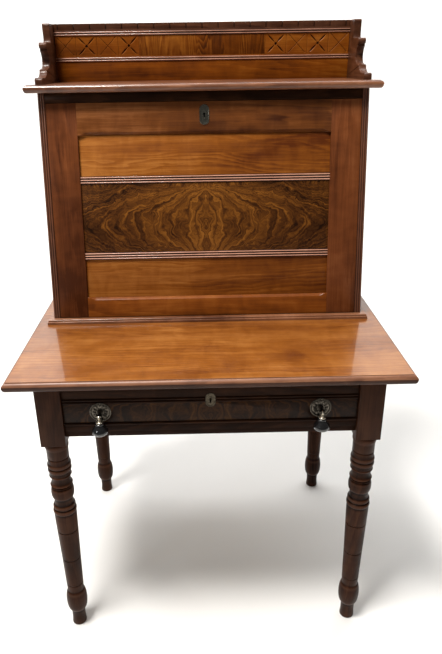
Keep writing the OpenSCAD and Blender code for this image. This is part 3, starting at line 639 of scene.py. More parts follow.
@dataclass(frozen=True)
class WoodFinish:
    """A varnished wood.

    Attributes:
        name: the material's name.
        dark: colour of the late wood and pores.
        middle: colour of the board.
        light: colour of the early wood.
        rough: the roughness where the varnish is sound.
        coat: weight of the varnish layer.
        coat_rough: the varnish layer's own roughness.
        specular: how strongly the wood itself shines.
        figure: strength of the growth rings.
        spacing: distance between growth rings.
        waviness: how far the rings wander.
        scratches: strength of pale scratches.
        source: where the coordinates come from.
    """

    name: str
    dark: tuple[float, float, float]
    middle: tuple[float, float, float]
    light: tuple[float, float, float]
    rough: float = 0.36
    coat: float = 0.25
    coat_rough: float = 0.16
    specular: float = 0.25
    figure: float = 0.20
    spacing: float = 0.009
    waviness: float = 1.0
    scratches: float = 0.0
    source: Coordinates = Coordinates.BOARD

    def make(self, figure: bpy.types.NodeTree, wear_and_shading: bpy.types.NodeTree) -> bpy.types.Material:
        """Builds the material from the shared groups.

        Args:
            figure: the wood's figure.
            wear_and_shading: the varnish's wear.

        Returns:
            The material.
        """
        material, g, shader = new_material(self.name)
        if self.source is Coordinates.BOARD:
            coords = g.attribute("grain", "Vector")
        else:
            spot = g.add("TexCoord").outputs["Object"]
            coords = g.add("Mapping", {"Vector": spot, "Rotation": self.source.value,
                                       "Location": (0.37, 0.02, 0.11)}).outputs[0]
        wood, old = g.add("Group", node_tree=figure), g.add("Group", node_tree=wear_and_shading)
        g.feed(wood, {"Coordinates": coords, "Ring Spacing": self.spacing, "Waviness": self.waviness,
                      "Ring Strength": self.figure})
        g.feed(old, {"Coordinates": coords})
        colour = g.ramp(g.math("ADD", wood.outputs["Tone"], g.attribute("tone")),
                        [(0.28, self.light), (0.5, self.middle), (0.78, self.dark)], "LINEAR")
        colour = g.mix(g.math("MULTIPLY", wood.outputs["Pores"], 0.35), colour, (*self.dark, 1.0))
        # The point attribute read next darkens hollows towards near black, as dirt and painted shade, and pales proud
        # edges and crests, as rubbing and painted highlight.
        rub_and_shading = g.attribute("wear_and_shading")
        dirt_and_shade_colour = tuple(c * 0.22 for c in self.dark)
        colour = g.mix(g.math("MULTIPLY", rub_and_shading, 0.85, clamp=True), colour, (*dirt_and_shade_colour, 1.0))
        rub_and_highlight_colour = tuple(min(1.0, c * 1.25 + 0.012) for c in self.light)
        colour = g.mix(g.math("MULTIPLY", rub_and_shading, -0.8, clamp=True), colour, (*rub_and_highlight_colour, 1.0))
        pale = tuple(min(1.0, c * 1.5 + 0.03) for c in self.light)
        colour = g.mix(g.math("MULTIPLY", old.outputs["Scratches"], self.scratches), colour, (*pale, 1.0))
        rough = g.math("ADD", g.math("MULTIPLY", old.outputs["Patches"], 0.14),
                       g.math("MULTIPLY_ADD", wood.outputs["Pores"], 0.15, self.rough))
        relief = g.math("SUBTRACT", g.math("MULTIPLY", wood.outputs["Fibres"], 0.3),
                        g.math("MULTIPLY_ADD", wood.outputs["Pores"], 0.6,
                               g.math("MULTIPLY", old.outputs["Scratches"], self.scratches)))
        bump = g.add("Bump", {"Height": relief, "Strength": 0.35, "Distance": 0.0004})
        g.feed(shader, {"Base Color": colour, "Roughness": rough, "Normal": bump.outputs[0], "Coat Weight": self.coat,
                        "Coat Roughness": self.coat_rough, "Specular IOR Level": self.specular})
        return material


BURL_SHADES = ((0.16, (0.014, 0.005, 0.0015)), (0.36, (0.070, 0.023, 0.005)), (0.54, (0.150, 0.052, 0.008)),
               (0.80, (0.31, 0.118, 0.018)))


@dataclass(frozen=True)
class BurlFinish:
    """Book-matched burl veneer: one leaf of figure, mirrored about the middle line.

    Attributes:
        name: the material's name.
        lift: brightness of the golden figure.
        spread: how much brighter the heart of the figure is.
        scale: how much finer the figure is than the fall's.
    """

    name: str
    lift: float = 1.0
    spread: float = 0.16
    scale: float = 1.0

    def make(self) -> bpy.types.Material:
        """Builds the material; its coordinates are along, up and through the leaf.

        Returns:
            The material.
        """
        material, g, shader = new_material(self.name)
        coords = g.attribute("grain", "Vector")
        parts = g.add("SeparateXYZ", {0: coords})
        side = g.math("ABSOLUTE", parts.outputs[0])
        leaf = g.add("CombineXYZ", {0: side, 1: parts.outputs[1], 2: 0.37}).outputs[0]
        leaf = g.scaled(leaf, (self.scale, self.scale, 1.0))
        warp = g.noise(leaf, 9.0, 3.0, 0.55)
        bent = leaf
        for noise, amount in ((warp, (0.10, 0.06, 0.0)), (g.noise(leaf, 38.0, 4.0, 0.6), (0.030, 0.022, 0.0))):
            push = g.add("VectorMath", {0: noise.outputs["Color"], 1: (0.5, 0.5, 0.5)}, operation="SUBTRACT")
            bent = g.add("VectorMath", {0: push.outputs[0], 1: amount, 2: bent}, operation="MULTIPLY_ADD").outputs[0]
        bent_parts = g.add("SeparateXYZ", {0: bent})
        wide = g.math("POWER", g.math("DIVIDE", g.math("ABSOLUTE", bent_parts.outputs[0]), 0.34), 0.72)
        high = g.math("DIVIDE", g.math("ABSOLUTE", g.math("ADD", bent_parts.outputs[1], 0.018)), 0.085)
        waist = g.math("MAXIMUM", g.math("MULTIPLY_ADD", g.math("POWER", high, 2.0), -0.55, 1.0), 0.25)
        nest = g.math("DIVIDE", wide, waist)
        along = g.scaled(bent, (9.0, 9.0, 1.0))
        along_parts = g.add("SeparateXYZ", {0: along})
        lines_at = g.add("CombineXYZ", {0: g.math("MULTIPLY", nest, 36.0), 1: along_parts.outputs[0],
                                        2: along_parts.outputs[1]}).outputs[0]
        lines = g.noise(lines_at, 1.0, 6.0, 0.62)
        eyes = g.noise(bent, 60.0, 5.0, 0.65, 1.2)
        heart = g.math("SUBTRACT", 1.0, g.mask(nest, 0.35, 1.25))
        tone = g.math("MULTIPLY_ADD", g.math("SUBTRACT", lines.outputs[0], 0.5), 1.4, 0.335)
        tone = g.math("ADD", tone, g.about_half(eyes.outputs[0], 0.55))
        tone = g.math("ADD", tone, g.math("MULTIPLY", heart, self.spread))
        tone = g.math("ADD", tone, g.about_half(warp.outputs[0], 0.5))
        stops = [(place, tuple(c * self.lift for c in shade)) for place, shade in BURL_SHADES]
        colour = g.ramp(tone, stops, "LINEAR")
        bump = g.add("Bump", {"Height": eyes.outputs[0], "Strength": 0.12, "Distance": 0.0005})
        g.feed(shader, {"Base Color": colour, "Roughness": g.math("MULTIPLY_ADD", eyes.outputs[0], 0.2, 0.24),
                        "Normal": bump.outputs[0], "Coat Weight": 0.06, "Coat Roughness": 0.2,
                        "Specular IOR Level": 0.08})
        return material


@dataclass(frozen=True)
class BrassFinish:
    """Old brass: bright, and brown where it has tarnished in noisy patches and specks."""

    name: str
    bright: tuple[float, float, float] = (0.62, 0.50, 0.30)
    tarnish: tuple[float, float, float] = (0.13, 0.095, 0.055)
    tarnished: float = 0.5

    def make(self) -> bpy.types.Material:
        """Builds the material on object coordinates.

        Returns:
            The material.
        """
        material, g, shader = new_material(self.name)
        coords = g.add("TexCoord").outputs["Object"]
        clouds = g.noise(coords, 130.0, 5.0, 0.65)
        specks = g.noise(coords, 900.0, 3.0, 0.6)
        amount = g.mask(g.math("MULTIPLY_ADD", specks.outputs[0], 0.35, clouds.outputs[0]),
                        0.50 + 0.3 * (1 - self.tarnished), 0.95 + 0.2 * (1 - self.tarnished))
        colour = g.mix(amount, (*self.bright, 1.0), (*self.tarnish, 1.0))
        bump = g.add("Bump", {"Height": specks.outputs[0], "Strength": 0.25, "Distance": 0.0002})
        g.feed(shader, {"Base Color": colour, "Roughness": g.math("MULTIPLY_ADD", amount, 0.3, 0.26),
                        "Normal": bump.outputs[0], "Metallic": 1.0})
        return material


@dataclass(frozen=True)
class PlainFinish:
    """A finish of one hue with slow clouds and fine tooth, for small or hidden things."""

    name: str
    colour: tuple[float, float, float]
    rough: float
    metallic: float = 0.0
    coat: float = 0.0
    cloud_scale: float = 40.0
    depth: float = 0.25

    def make(self) -> bpy.types.Material:
        """Builds the material on object coordinates.

        Returns:
            The material.
        """
        material, g, shader = new_material(self.name)
        coords = g.add("TexCoord").outputs["Object"]
        clouds = g.noise(coords, self.cloud_scale, 5.0, 0.6)
        darker = tuple(c * (1 - self.depth) for c in self.colour)
        lighter = tuple(min(1.0, c * (1 + self.depth)) for c in self.colour)
        g.feed(shader, {"Base Color": g.mix(clouds.outputs[0], (*darker, 1.0), (*lighter, 1.0)),
                        "Roughness": g.math("MULTIPLY_ADD", clouds.outputs[0], 0.12, self.rough),
                        "Metallic": self.metallic, "Coat Weight": self.coat, "Coat Roughness": 0.05})
        return material


class Finishes:
    """Every material of the desk, made once."""

    def __init__(self) -> None:
        figure, wear_and_shading = wood_figure_group(), wear_group()

        def wood(name: str, *colours: tuple[float, float, float], **settings) -> bpy.types.Material:
            """A wood finish made with the shared groups."""
            return WoodFinish(name, *colours, **settings).make(figure, wear_and_shading)

        walnut = WoodFinish("walnut", (0.050, 0.014, 0.004), (0.135, 0.040, 0.010), (0.24, 0.082, 0.022))
        self.walnut = walnut.make(figure, wear_and_shading)
        self.case = wood("walnut_case", (0.022, 0.007, 0.003), (0.066, 0.020, 0.008), (0.125, 0.042, 0.017), coat=0.3)
        self.stile = wood("walnut_stile", (0.058, 0.015, 0.004), (0.150, 0.043, 0.012), (0.24, 0.080, 0.026),
                          spacing=0.012, waviness=0.6, coat=0.08, specular=0.10, figure=0.12)
        self.panel = wood("walnut_panel", (0.085, 0.0195, 0.0035), (0.23, 0.068, 0.008), (0.37, 0.135, 0.025),
                          spacing=0.010, waviness=2.4, coat=0.08, specular=0.10, figure=0.15)
        # Dark walnut, lowered further to stand for the shade under the table top and the cornice: partly the wood's
        # own colour, partly painted shade.
        self.dark = wood("walnut_dark_and_painted_shade", (0.006, 0.0022, 0.0010), (0.021, 0.0076, 0.0030), (0.042, 0.0155, 0.0062),
                         rough=0.42, coat=0.02, specular=0.05)
        self.legs = wood("walnut_legs", (0.011, 0.0035, 0.0014), (0.034, 0.0115, 0.0044), (0.064, 0.023, 0.0095),
                         rough=0.34, coat=0.06, coat_rough=0.12, specular=0.06)
        self.top = wood("walnut_top", (0.098, 0.023, 0.004), (0.235, 0.074, 0.011), (0.36, 0.138, 0.030), rough=0.28,
                        coat=0.75, coat_rough=0.07, spacing=0.013, waviness=1.8, scratches=0.35, figure=0.13)
        # Two copies of the top's walnut for its moulded edge, told apart by which way the faces look: the upward
        # slope pale and pink as painted glare, the nose and under face near black as painted shade.
        self.top_slope_painted_glare = wood("walnut_top_painted_glare", (0.050, 0.018, 0.009), (0.19, 0.076, 0.038), (0.30, 0.135, 0.070),
                              rough=0.42, coat=0.45, coat_rough=0.32)
        self.top_edge_painted_shade = wood("walnut_top_painted_shade", (0.012, 0.004, 0.002), (0.044, 0.0145, 0.006), (0.080, 0.028, 0.012),
                             coat=0.15, specular=0.12)
        pale = ((0.135, 0.071, 0.029), (0.29, 0.172, 0.079), (0.40, 0.26, 0.13))
        self.poplar_y = wood("poplar_y", *pale, rough=0.6, coat=0.0, source=Coordinates.ALONG_Y)
        self.poplar_x = wood("poplar_x", *pale, rough=0.6, coat=0.0, source=Coordinates.ALONG_X)
        self.poplar = wood("poplar", *pale, rough=0.6, coat=0.0)
        self.burl = BurlFinish("burl_fall", spread=0.13).make()
        self.burl_dark = BurlFinish("burl_drawer", lift=0.30, spread=0.10, scale=0.9).make()
        self.brass = BrassFinish("brass").make()
        self.collar = BrassFinish("brass_collar", (0.80, 0.72, 0.58), (0.26, 0.21, 0.15), 0.3).make()
        self.plate = BrassFinish("brass_plate", (0.115, 0.100, 0.080), (0.018, 0.015, 0.012), 0.75).make()
        self.key_plate = BrassFinish("brass_key_plate", (0.19, 0.18, 0.145), (0.036, 0.033, 0.026), 0.6).make()
        self.brown_brass = BrassFinish("brass_browned", (0.075, 0.062, 0.044), (0.018, 0.014, 0.010), 0.75).make()
        self.ebony = PlainFinish("ebonised", (0.005, 0.0048, 0.0052), 0.14, coat=1.0, cloud_scale=60.0).make()
        self.rail = wood("walnut_rail", (0.060, 0.014, 0.003), (0.20, 0.052, 0.006), (0.31, 0.10, 0.016),
                         spacing=0.011, coat=0.08, specular=0.10, figure=0.13)
        self.rail_top = wood("walnut_top_rail", (0.048, 0.013, 0.004), (0.145, 0.045, 0.010), (0.28, 0.10, 0.030),
                             spacing=0.012, coat=0.10, specular=0.12, figure=0.13)
        # Its pale pink light colour, which the reeds' crests take, is a painted highlight.
        self.reed = wood("walnut_reeds_painted_highlight", (0.030, 0.009, 0.003), (0.20, 0.075, 0.038), (0.52, 0.27, 0.18), coat=0.5)
        self.foot = wood("walnut_foot", (0.085, 0.028, 0.012), (0.235, 0.096, 0.045), (0.37, 0.17, 0.088), rough=0.3,
                         coat=0.5)
        self.cornice = wood("walnut_cornice", (0.056, 0.019, 0.009), (0.165, 0.060, 0.026), (0.27, 0.11, 0.052),
                            rough=0.30, coat=0.7, coat_rough=0.16)
        self.gallery = wood("walnut_gallery", (0.066, 0.0150, 0.002), (0.19, 0.049, 0.0035), (0.29, 0.093, 0.010),
                            spacing=0.010, coat=0.05, specular=0.08, figure=0.12)
        # Darkened to the shade on the left bracket's inner face: a painted shade, used on both brackets and on the
        # kerfed edge.
        self.shaded_bracket = wood("walnut_bracket_painted_shade", (0.022, 0.007, 0.003), (0.062, 0.021, 0.009), (0.115, 0.043, 0.020),
                            coat=0.15, specular=0.12)
        self.flame = wood("walnut_flame", (0.034, 0.008, 0.001), (0.135, 0.034, 0.0025), (0.25, 0.082, 0.009),
                          spacing=0.016, waviness=9.0, coat=0.05, specular=0.08, figure=0.28)
        self.walnut_x = wood("walnut_x", walnut.dark, walnut.middle, walnut.light, source=Coordinates.ALONG_X)
        self.walnut_z = wood("walnut_z", walnut.dark, walnut.middle, walnut.light, source=Coordinates.ALONG_Z)
        self.steel = PlainFinish("iron", (0.22, 0.21, 0.20), 0.42, metallic=1.0, cloud_scale=300.0).make()
        # Near black, for the lock behind the fall's keyhole, so that the keyhole reads as a painted shadow.
        self.shadow = PlainFinish("lock_painted_shadow", (0.006, 0.005, 0.004), 0.8, cloud_scale=200.0).make()


# ---------------------------------------------------------------- places

@dataclass(frozen=True)
class Span:
    """The box round some CAD nodes, lowest and highest corner."""

    low: np.ndarray
    high: np.ndarray

    @property
    def middle(self) -> np.ndarray:
        """The box's middle."""
        return (self.low + self.high) / 2


def span(*nodes: str) -> Span:
    """The box round CAD nodes.

    Args:
        nodes: their names.

    Returns:
        The box.
    """
    corners = [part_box(node) for node in nodes]
    return Span(np.min([np.array(low) for low, _ in corners], axis=0),
                np.max([np.array(high) for _, high in corners], axis=0))


def eased(node: str, finish: bpy.types.Material, body: Body, grain: Grain,
          arris: float = 0.7 * MM) -> bpy.types.Object:
    """A CAD node's shape with its sharp outer arrises rounded, as a piece in its place.

    The copy's doubled points are merged and its flat faces joined before the edges that
    turn by more than 50 degrees are bevelled in two steps.

    Args:
        node: the CAD node.
        finish: its material.
        body: what it moves with.
        grain: how its wood lies.
        arris: radius of the rounding.

    Returns:
        The piece.
    """
    shape = bmesh.new()
    shape.from_mesh(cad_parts[node].data)
    bmesh.ops.remove_doubles(shape, verts=shape.verts, dist=1e-6)
    bmesh.ops.dissolve_limit(shape, angle_limit=math.radians(0.5), verts=shape.verts, edges=shape.edges)
    bmesh.ops.recalc_face_normals(shape, faces=shape.faces)
    sharp = [e for e in shape.edges if len(e.link_faces) == 2 and e.calc_face_angle_signed(0.0) > math.radians(50)
             and e.calc_length() > 6 * MM]
    bmesh.ops.bevel(shape, geom=sharp, offset=arris, offset_type="OFFSET", segments=2, profile=0.5,
                    affect="EDGES", clamp_overlap=True)
    points = np.array([tuple(v.co) for v in shape.verts])
    shape.verts.index_update()
    faces = [tuple(v.index for v in face.verts) for face in shape.faces]
    shape.free()
    return make_piece(node + "_eased", Solid(points, faces, points.copy()), finish, body,
                      grain, [node])


def dress(finish: bpy.types.Material, slot: Slot, *nodes: str) -> None:
    """Gives CAD nodes that stay as they are a material.

    Args:
        finish: the material.
        slot: the record's material slot; not used.
        nodes: names of the nodes.
    """
    for node in nodes:
        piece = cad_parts[node]
        piece.data.materials.clear()
        piece.data.materials.append(finish)
        LOG.info("%s: dressed", node)


def moulded_edge(thickness: float) -> np.ndarray:
    """A board's moulded edge from its under face up: rows of inset and height.

    An elliptic quarter that draws in below, an arris at 0.64 of the thickness, a slope that
    is the part of an ellipse from 40 to 90 degrees, then a small step at the upper face.

    Args:
        thickness: the board's thickness.

    Returns:
        The rows.
    """
    t = thickness
    step, quirk, arris, nose = 0.36 * t, 0.06 * t, 0.36 * t, 0.42 * t
    swell = (arris - quirk) / (1 - math.sin(math.radians(40)))
    under = arc((-step, t - nose), (step, t - nose), -90, 0, 10)
    over = arc((-step, t - quirk - swell), (step / math.cos(math.radians(40)), swell), 40, 90, 8)
    rows = np.concatenate([under, [[-0.1 * MM, t - arris - 0.5 * MM]], over[1:],
                           [[-step, t - 0.3 * MM], [-step - 0.3 * MM, t]]])
    rows[:, 0] *= -1
    return rows


def moulded_slab(place: Span, profile: np.ndarray, moulded_back: bool) -> Solid:
    """A board whose edge is moulded: ring k is its plan drawn in by row k's inset, at row k's height.

    Args:
        place: the board's box.
        profile: rows of inset and height above the board's under face.
        moulded_back: False leaves the back edge square.

    Returns:
        The closed board.
    """
    inset_row, height = profile[:, 0], profile[:, 1]
    left, right = place.low[0] + inset_row, place.high[0] - inset_row
    front = place.low[1] + inset_row
    back = place.high[1] - (inset_row if moulded_back else 0 * inset_row)
    z = place.low[2] + height
    rings = np.stack([np.stack([left, front, z], 1), np.stack([right, front, z], 1),
                      np.stack([right, back, z], 1), np.stack([left, back, z], 1)], axis=1)
    return lofted(rings)


def mitred_run(profile: np.ndarray, path: np.ndarray, outward: np.ndarray, base: float) -> Solid:
    """A moulding carried round corners: point j of ring i is path point i plus profile depth j along its mitre.

    Args:
        profile: rows of projection and height.
        path: plan points.
        outward: the mitre direction at each path point, as long as its corner needs.
        base: the height of the profile's zero.

    Returns:
        The closed moulding.
    """
    rings = np.empty((len(path), len(profile), 3))
    rings[:, :, :2] = path[:, None] + outward[:, None] * profile[None, :, :1]
    rings[:, :, 2] = base + profile[:, 1]
    return lofted(rings)


def relief_tile(width: float, height: float, thickness: float, depth: Callable[[np.ndarray, np.ndarray], np.ndarray],
                spacing: float) -> Solid:
    """A carved tile facing -Y, centred on the origin, as a closed grid.

    The point at (a, b) of the face lies depth(a, b) behind the face; the back is the same
    grid, flat, at the tile's thickness, and the two share no points but are sewn along
    their rims.

    Args:
        width: its width.
        height: its height.
        thickness: how far behind the face its back lies.
        depth: the carving's depth at (a, b).
        spacing: distance between grid points.

    Returns:
        The closed tile, with its wear and painted shading: darker with the carving's depth.
    """
    columns, rows = int(width / spacing) + 1, int(height / spacing) + 1
    a, b = np.meshgrid(np.linspace(-width / 2, width / 2, columns), np.linspace(-height / 2, height / 2, rows))
    front = np.stack([a, depth(a, b), b], axis=-1)
    index = np.arange(rows * columns).reshape(rows, columns)
    quads = np.stack([index[:-1, :-1], index[:-1, 1:], index[1:, 1:], index[1:, :-1]], axis=-1).reshape(-1, 4)
    rim = np.concatenate([index[0, :-1], index[:-1, -1], index[-1, :0:-1], index[:0:-1, 0]])
    behind = front.reshape(-1, 3)[rim].copy()
    behind[:, 1] = thickness
    start = rows * columns
    back = np.arange(start, start + len(rim))
    sides = np.stack([rim, back, np.roll(back, -1), np.roll(rim, -1)], axis=1)
    faces = [tuple(q) for q in quads.tolist()] + [tuple(q) for q in sides.tolist()] + [tuple(back.tolist())]
    points = np.concatenate([front.reshape(-1, 3), behind])
    # Darker with depth: painted shade with dirt in the carving.
    wear_and_shading = np.clip(points[:, 1] / (1.2 * MM), 0, 1)
    return Solid(points, faces, points.copy(), wear_and_shading)


def facing_front(solid: Solid, at: Iterable[float]) -> Solid:
    """A solid drawn facing +Z on the origin, turned to face -Y and moved to a place.

    Args:
        solid: the solid.
        at: where its origin goes.

    Returns:
        The turned solid.
    """
    points = solid.points[:, [0, 2, 1]] * np.array([1, -1, 1]) + np.array(list(at))
    return Solid(points, solid.faces, points.copy(), solid.wear_and_shading)


def shifted(solid: Solid, offset: Iterable[float]) -> Solid:
    """The solid moved, its local points with it."""
    step = np.array(list(offset), float)
    return Solid(solid.points + step, solid.faces, solid.local + step, solid.wear_and_shading)


def reach(inside: Callable[[np.ndarray, np.ndarray], np.ndarray], angles: np.ndarray, far: float) -> np.ndarray:
    """How far a ray at each angle runs before it leaves a shape, read off a fine scale.

    Args:
        inside: tells which points lie in the shape.
        angles: the rays' angles.
        far: length of the scale.

    Returns:
        One distance for each ray.
    """
    steps = np.linspace(0, far, 1200)
    x, y = np.cos(angles)[:, None] * steps, np.sin(angles)[:, None] * steps
    within = inside(x, y)
    return steps[np.argmin(np.concatenate([within, np.zeros((len(angles), 1), bool)], axis=1), axis=1) - 1]


KEY_BOW, KEY_SLOT, KEY_LENGTH = 2.8 * MM, 1.5 * MM, 9 * MM


def key_plate(width: float, height: float, thickness: float, hole_up: float) -> Solid:
    """An upright plate with round ends and a keyhole, lying in X and Y and facing +Z.

    Ring k lies a share of the way from the plate's outline to the keyhole's, along rays
    from the keyhole's middle; the heights make a rolled rim, a sunk field and a raised lip
    round the keyhole.

    Args:
        width: its width.
        height: its height.
        thickness: its thickness.
        hole_up: how far the keyhole's middle lies above the plate's.

    Returns:
        The closed plate.
    """
    half = (height - width) / 2
    angles = np.linspace(0, 2 * math.pi, 120, endpoint=False)

    def plate(x: np.ndarray, y: np.ndarray) -> np.ndarray:
        """Inside the plate's outline."""
        up = np.clip(y + hole_up, -half, half)
        return x ** 2 + (y + hole_up - up) ** 2 <= (width / 2) ** 2

    def keyhole(x: np.ndarray, y: np.ndarray) -> np.ndarray:
        """Inside the keyhole's outline."""
        return (x ** 2 + y ** 2 <= KEY_BOW ** 2) | ((np.abs(x) <= KEY_SLOT) & (y <= 0) & (y >= -KEY_LENGTH))

    outer, inner = reach(plate, angles, height), reach(keyhole, angles, height)
    shares = np.array([0.0, 0.0, 0.03, 0.10, 0.16, 0.24, 0.62, 0.74, 0.86, 0.96, 1.0, 1.0])
    heights = np.array([0.0, 0.6, 0.92, 1.0, 0.92, 0.62, 0.62, 0.8, 1.0, 0.9, 0.7, 0.0]) * thickness
    radius = outer[None] * (1 - shares[:, None]) + inner[None] * shares[:, None]
    rings = np.stack([radius * np.cos(angles), radius * np.sin(angles) + hole_up,
                      np.broadcast_to(heights[:, None], radius.shape)], axis=-1)
    return lofted(rings, capped=False)


def key_plug(length: float) -> Solid:
    """A prism of the keyhole's outline, a little inside it, from height 0 up.

    Args:
        length: its length.

    Returns:
        The closed prism.
    """
    bow = arc((0, 0), (KEY_BOW, KEY_BOW), -58, 238, 24)
    outline = np.concatenate([bow, [[-KEY_SLOT, -KEY_LENGTH], [KEY_SLOT, -KEY_LENGTH]]])
    rings = np.stack([np.column_stack([outline, np.full(len(outline), z)]) for z in (0.0, length)])
    return lofted(rings)


def places_of(mesh: bpy.types.Mesh) -> np.ndarray:
    """Vertex coordinates with a column of ones, as a linear law needs them.

    Args:
        mesh: the mesh.

    Returns:
        One row for each vertex.
    """
    points = np.empty(len(mesh.vertices) * 3, dtype=np.float32)
    mesh.vertices.foreach_get("co", points)
    return np.column_stack([points.reshape(-1, 3), np.ones(len(mesh.vertices))])


def bored(piece: bpy.types.Object, plug: Solid) -> None:
    """Cuts a solid out of a piece for good.

    Grain and tone are linear in a vertex's place; the law is found on the whole piece by
    least squares and written again on the cut one.

    Args:
        piece: what is cut.
        plug: the solid that is taken out.
    """
    laws = {}
    for name, key, width in (("grain", "vector", 3), ("tone", "value", 1)):
        values = np.empty(len(piece.data.vertices) * width, dtype=np.float32)
        piece.data.attributes[name].data.foreach_get(key, values)
        laws[name, key] = np.linalg.lstsq(places_of(piece.data), values.reshape(-1, width), rcond=None)[0]
    tool = shown("plug", outward_mesh("plug", plug))
    cut = piece.modifiers.new("bore", "BOOLEAN")
    cut.operation, cut.solver, cut.object = "DIFFERENCE", "EXACT", tool
    bpy.context.view_layer.update()
    shaped = bpy.data.meshes.new_from_object(piece.evaluated_get(bpy.context.evaluated_depsgraph_get()))
    piece.modifiers.clear()
    for (name, key), law in laws.items():
        shaped.attributes[name].data.foreach_set(key, (places_of(shaped) @ law).astype(np.float32).ravel())
    piece.data = shaped
    bpy.data.objects.remove(tool)


# ---------------------------------------------------------------- table

LEG_TURNING = np.concatenate([
    [[0, 0], [15.2, 0]], arc((15.5, 3), (2.5, 3), -80, 0, 5), [[16.6, 20], [16.9, 38], [18.5, 47]],
    arc((18.5, 80), (7.3, 32), -78, 78, 18), [[19.8, 113.5], [20, 117], [20.8, 133.4], [19.7, 134.6], [20.8, 136]],
    [[22.5, 217.4], [21.4, 218.8], [22.6, 220.4]],
    [[25, 306], [23.8, 307.6], [25.1, 309.4], [26.3, 355], [25.2, 361]],
    arc((25, 368), (2.6, 5.2), -78, 78, 9), [[23.9, 374.6]], arc((23.5, 381), (2.6, 5), -75, 75, 9),
    [[22.3, 388], [22.0, 397], [22.6, 404], [23.5, 406.5]], arc((24, 421), (2.6, 13.4), -80, 80, 12),
    [[23.5, 436], [24.9, 438.6], [23.6, 441.4]], arc((29, 456.5), (7, 13.5), 245, 115, 12),
    [[24.5, 471], [24.4, 474.6], [24.9, 478.4]], arc((24.5, 486), (2.8, 6), -78, 78, 9),
    arc((24.5, 498), (2.8, 5.6), -78, 78, 9), [[24.7, 506], [24.8, 516], [23.7, 518], [24.8, 520], [25, 540]],
    arc((21, 550), (6, 9), -30, 80, 8), [[20, 562], [0, 562]],
]) * MM


@dataclass
class Table:
    """The writing table: four turned legs, their aprons and rails, and the moulded top.

    Attributes:
        block_bottom: height at which a leg's square block begins.
        half: half of a block's width.
        arris: rounding of the leg blocks.
    """

    finishes: Finishes
    block_bottom: float = 560 * MM
    half: float = 28 * MM
    arris: float = 1.4 * MM

    def leg(self, node: str, seed: int) -> None:
        """One leg: a turned shaft under a square block.

        Args:
            node: the CAD node.
            seed: the stretch of log that it is cut from.
        """
        place = span(node)
        x, y = place.middle[:2]
        square = rectangle((x - self.half, y - self.half), (x + self.half, y + self.half))
        block = section_run(softened(square, self.arris), self.block_bottom, place.high[2], Run.Z, self.arris)
        shaft = turned(LEG_TURNING, (x, y, 0), 64)
        both = joined([shaft, block])
        both.local = both.points.copy()
        make_piece(node.replace("leg", "turned_leg"), both, self.finishes.legs, Body.CARCASE,
                   Grain(2, 1, seed), [node])

    def top(self) -> None:
        """The moulded top; its edge faces take a painted glare finish where they look up the slope and a painted
        shade finish where they look out or down.
        """
        place = span("table_top")
        slab = moulded_slab(place, moulded_edge(place.high[2] - place.low[2]), True)
        board = make_piece("table_top_board", slab, self.finishes.top, Body.CARCASE, Grain(0, 2, 5),
                           ["table_top"])
        for finish in (self.finishes.top_slope_painted_glare, self.finishes.top_edge_painted_shade):
            board.data.materials.append(finish)
        # Flat top faces keep the top's walnut; faces that look upward take the painted glare copy, the rest the
        # painted shade copy.
        edge = [0 if face.normal.z > 0.999 else 1 if face.normal.z > 0.3 else 2 for face in board.data.polygons]
        board.data.polygons.foreach_set("material_index", edge)

    def build(self) -> None:
        """Builds the table."""
        for seed, node in enumerate(["leg_front_left", "leg_front_right", "leg_back_left", "leg_back_right"]):
            self.leg(node, 3 + 4 * seed)
        for seed, node in enumerate(["apron_left", "apron_right"]):
            eased(node, self.finishes.dark, Body.CARCASE, Grain(1, 0, 21 + seed))
        eased("apron_back", self.finishes.dark, Body.CARCASE, Grain(0, 1, 25))
        for seed, node in enumerate(["front_top_rail", "drawer_rail"]):
            eased(node, self.finishes.dark, Body.CARCASE, Grain(0, 1, 31 + seed))
        self.top()
        dress(self.finishes.poplar_y, Slot.SECONDARY, "drawer_runners", "drawer_kickers")
        dress(self.finishes.steel, Slot.STEEL, "table_screws")


# ---------------------------------------------------------------- drawer and pulls

EYE_RADIUS = 4 * MM


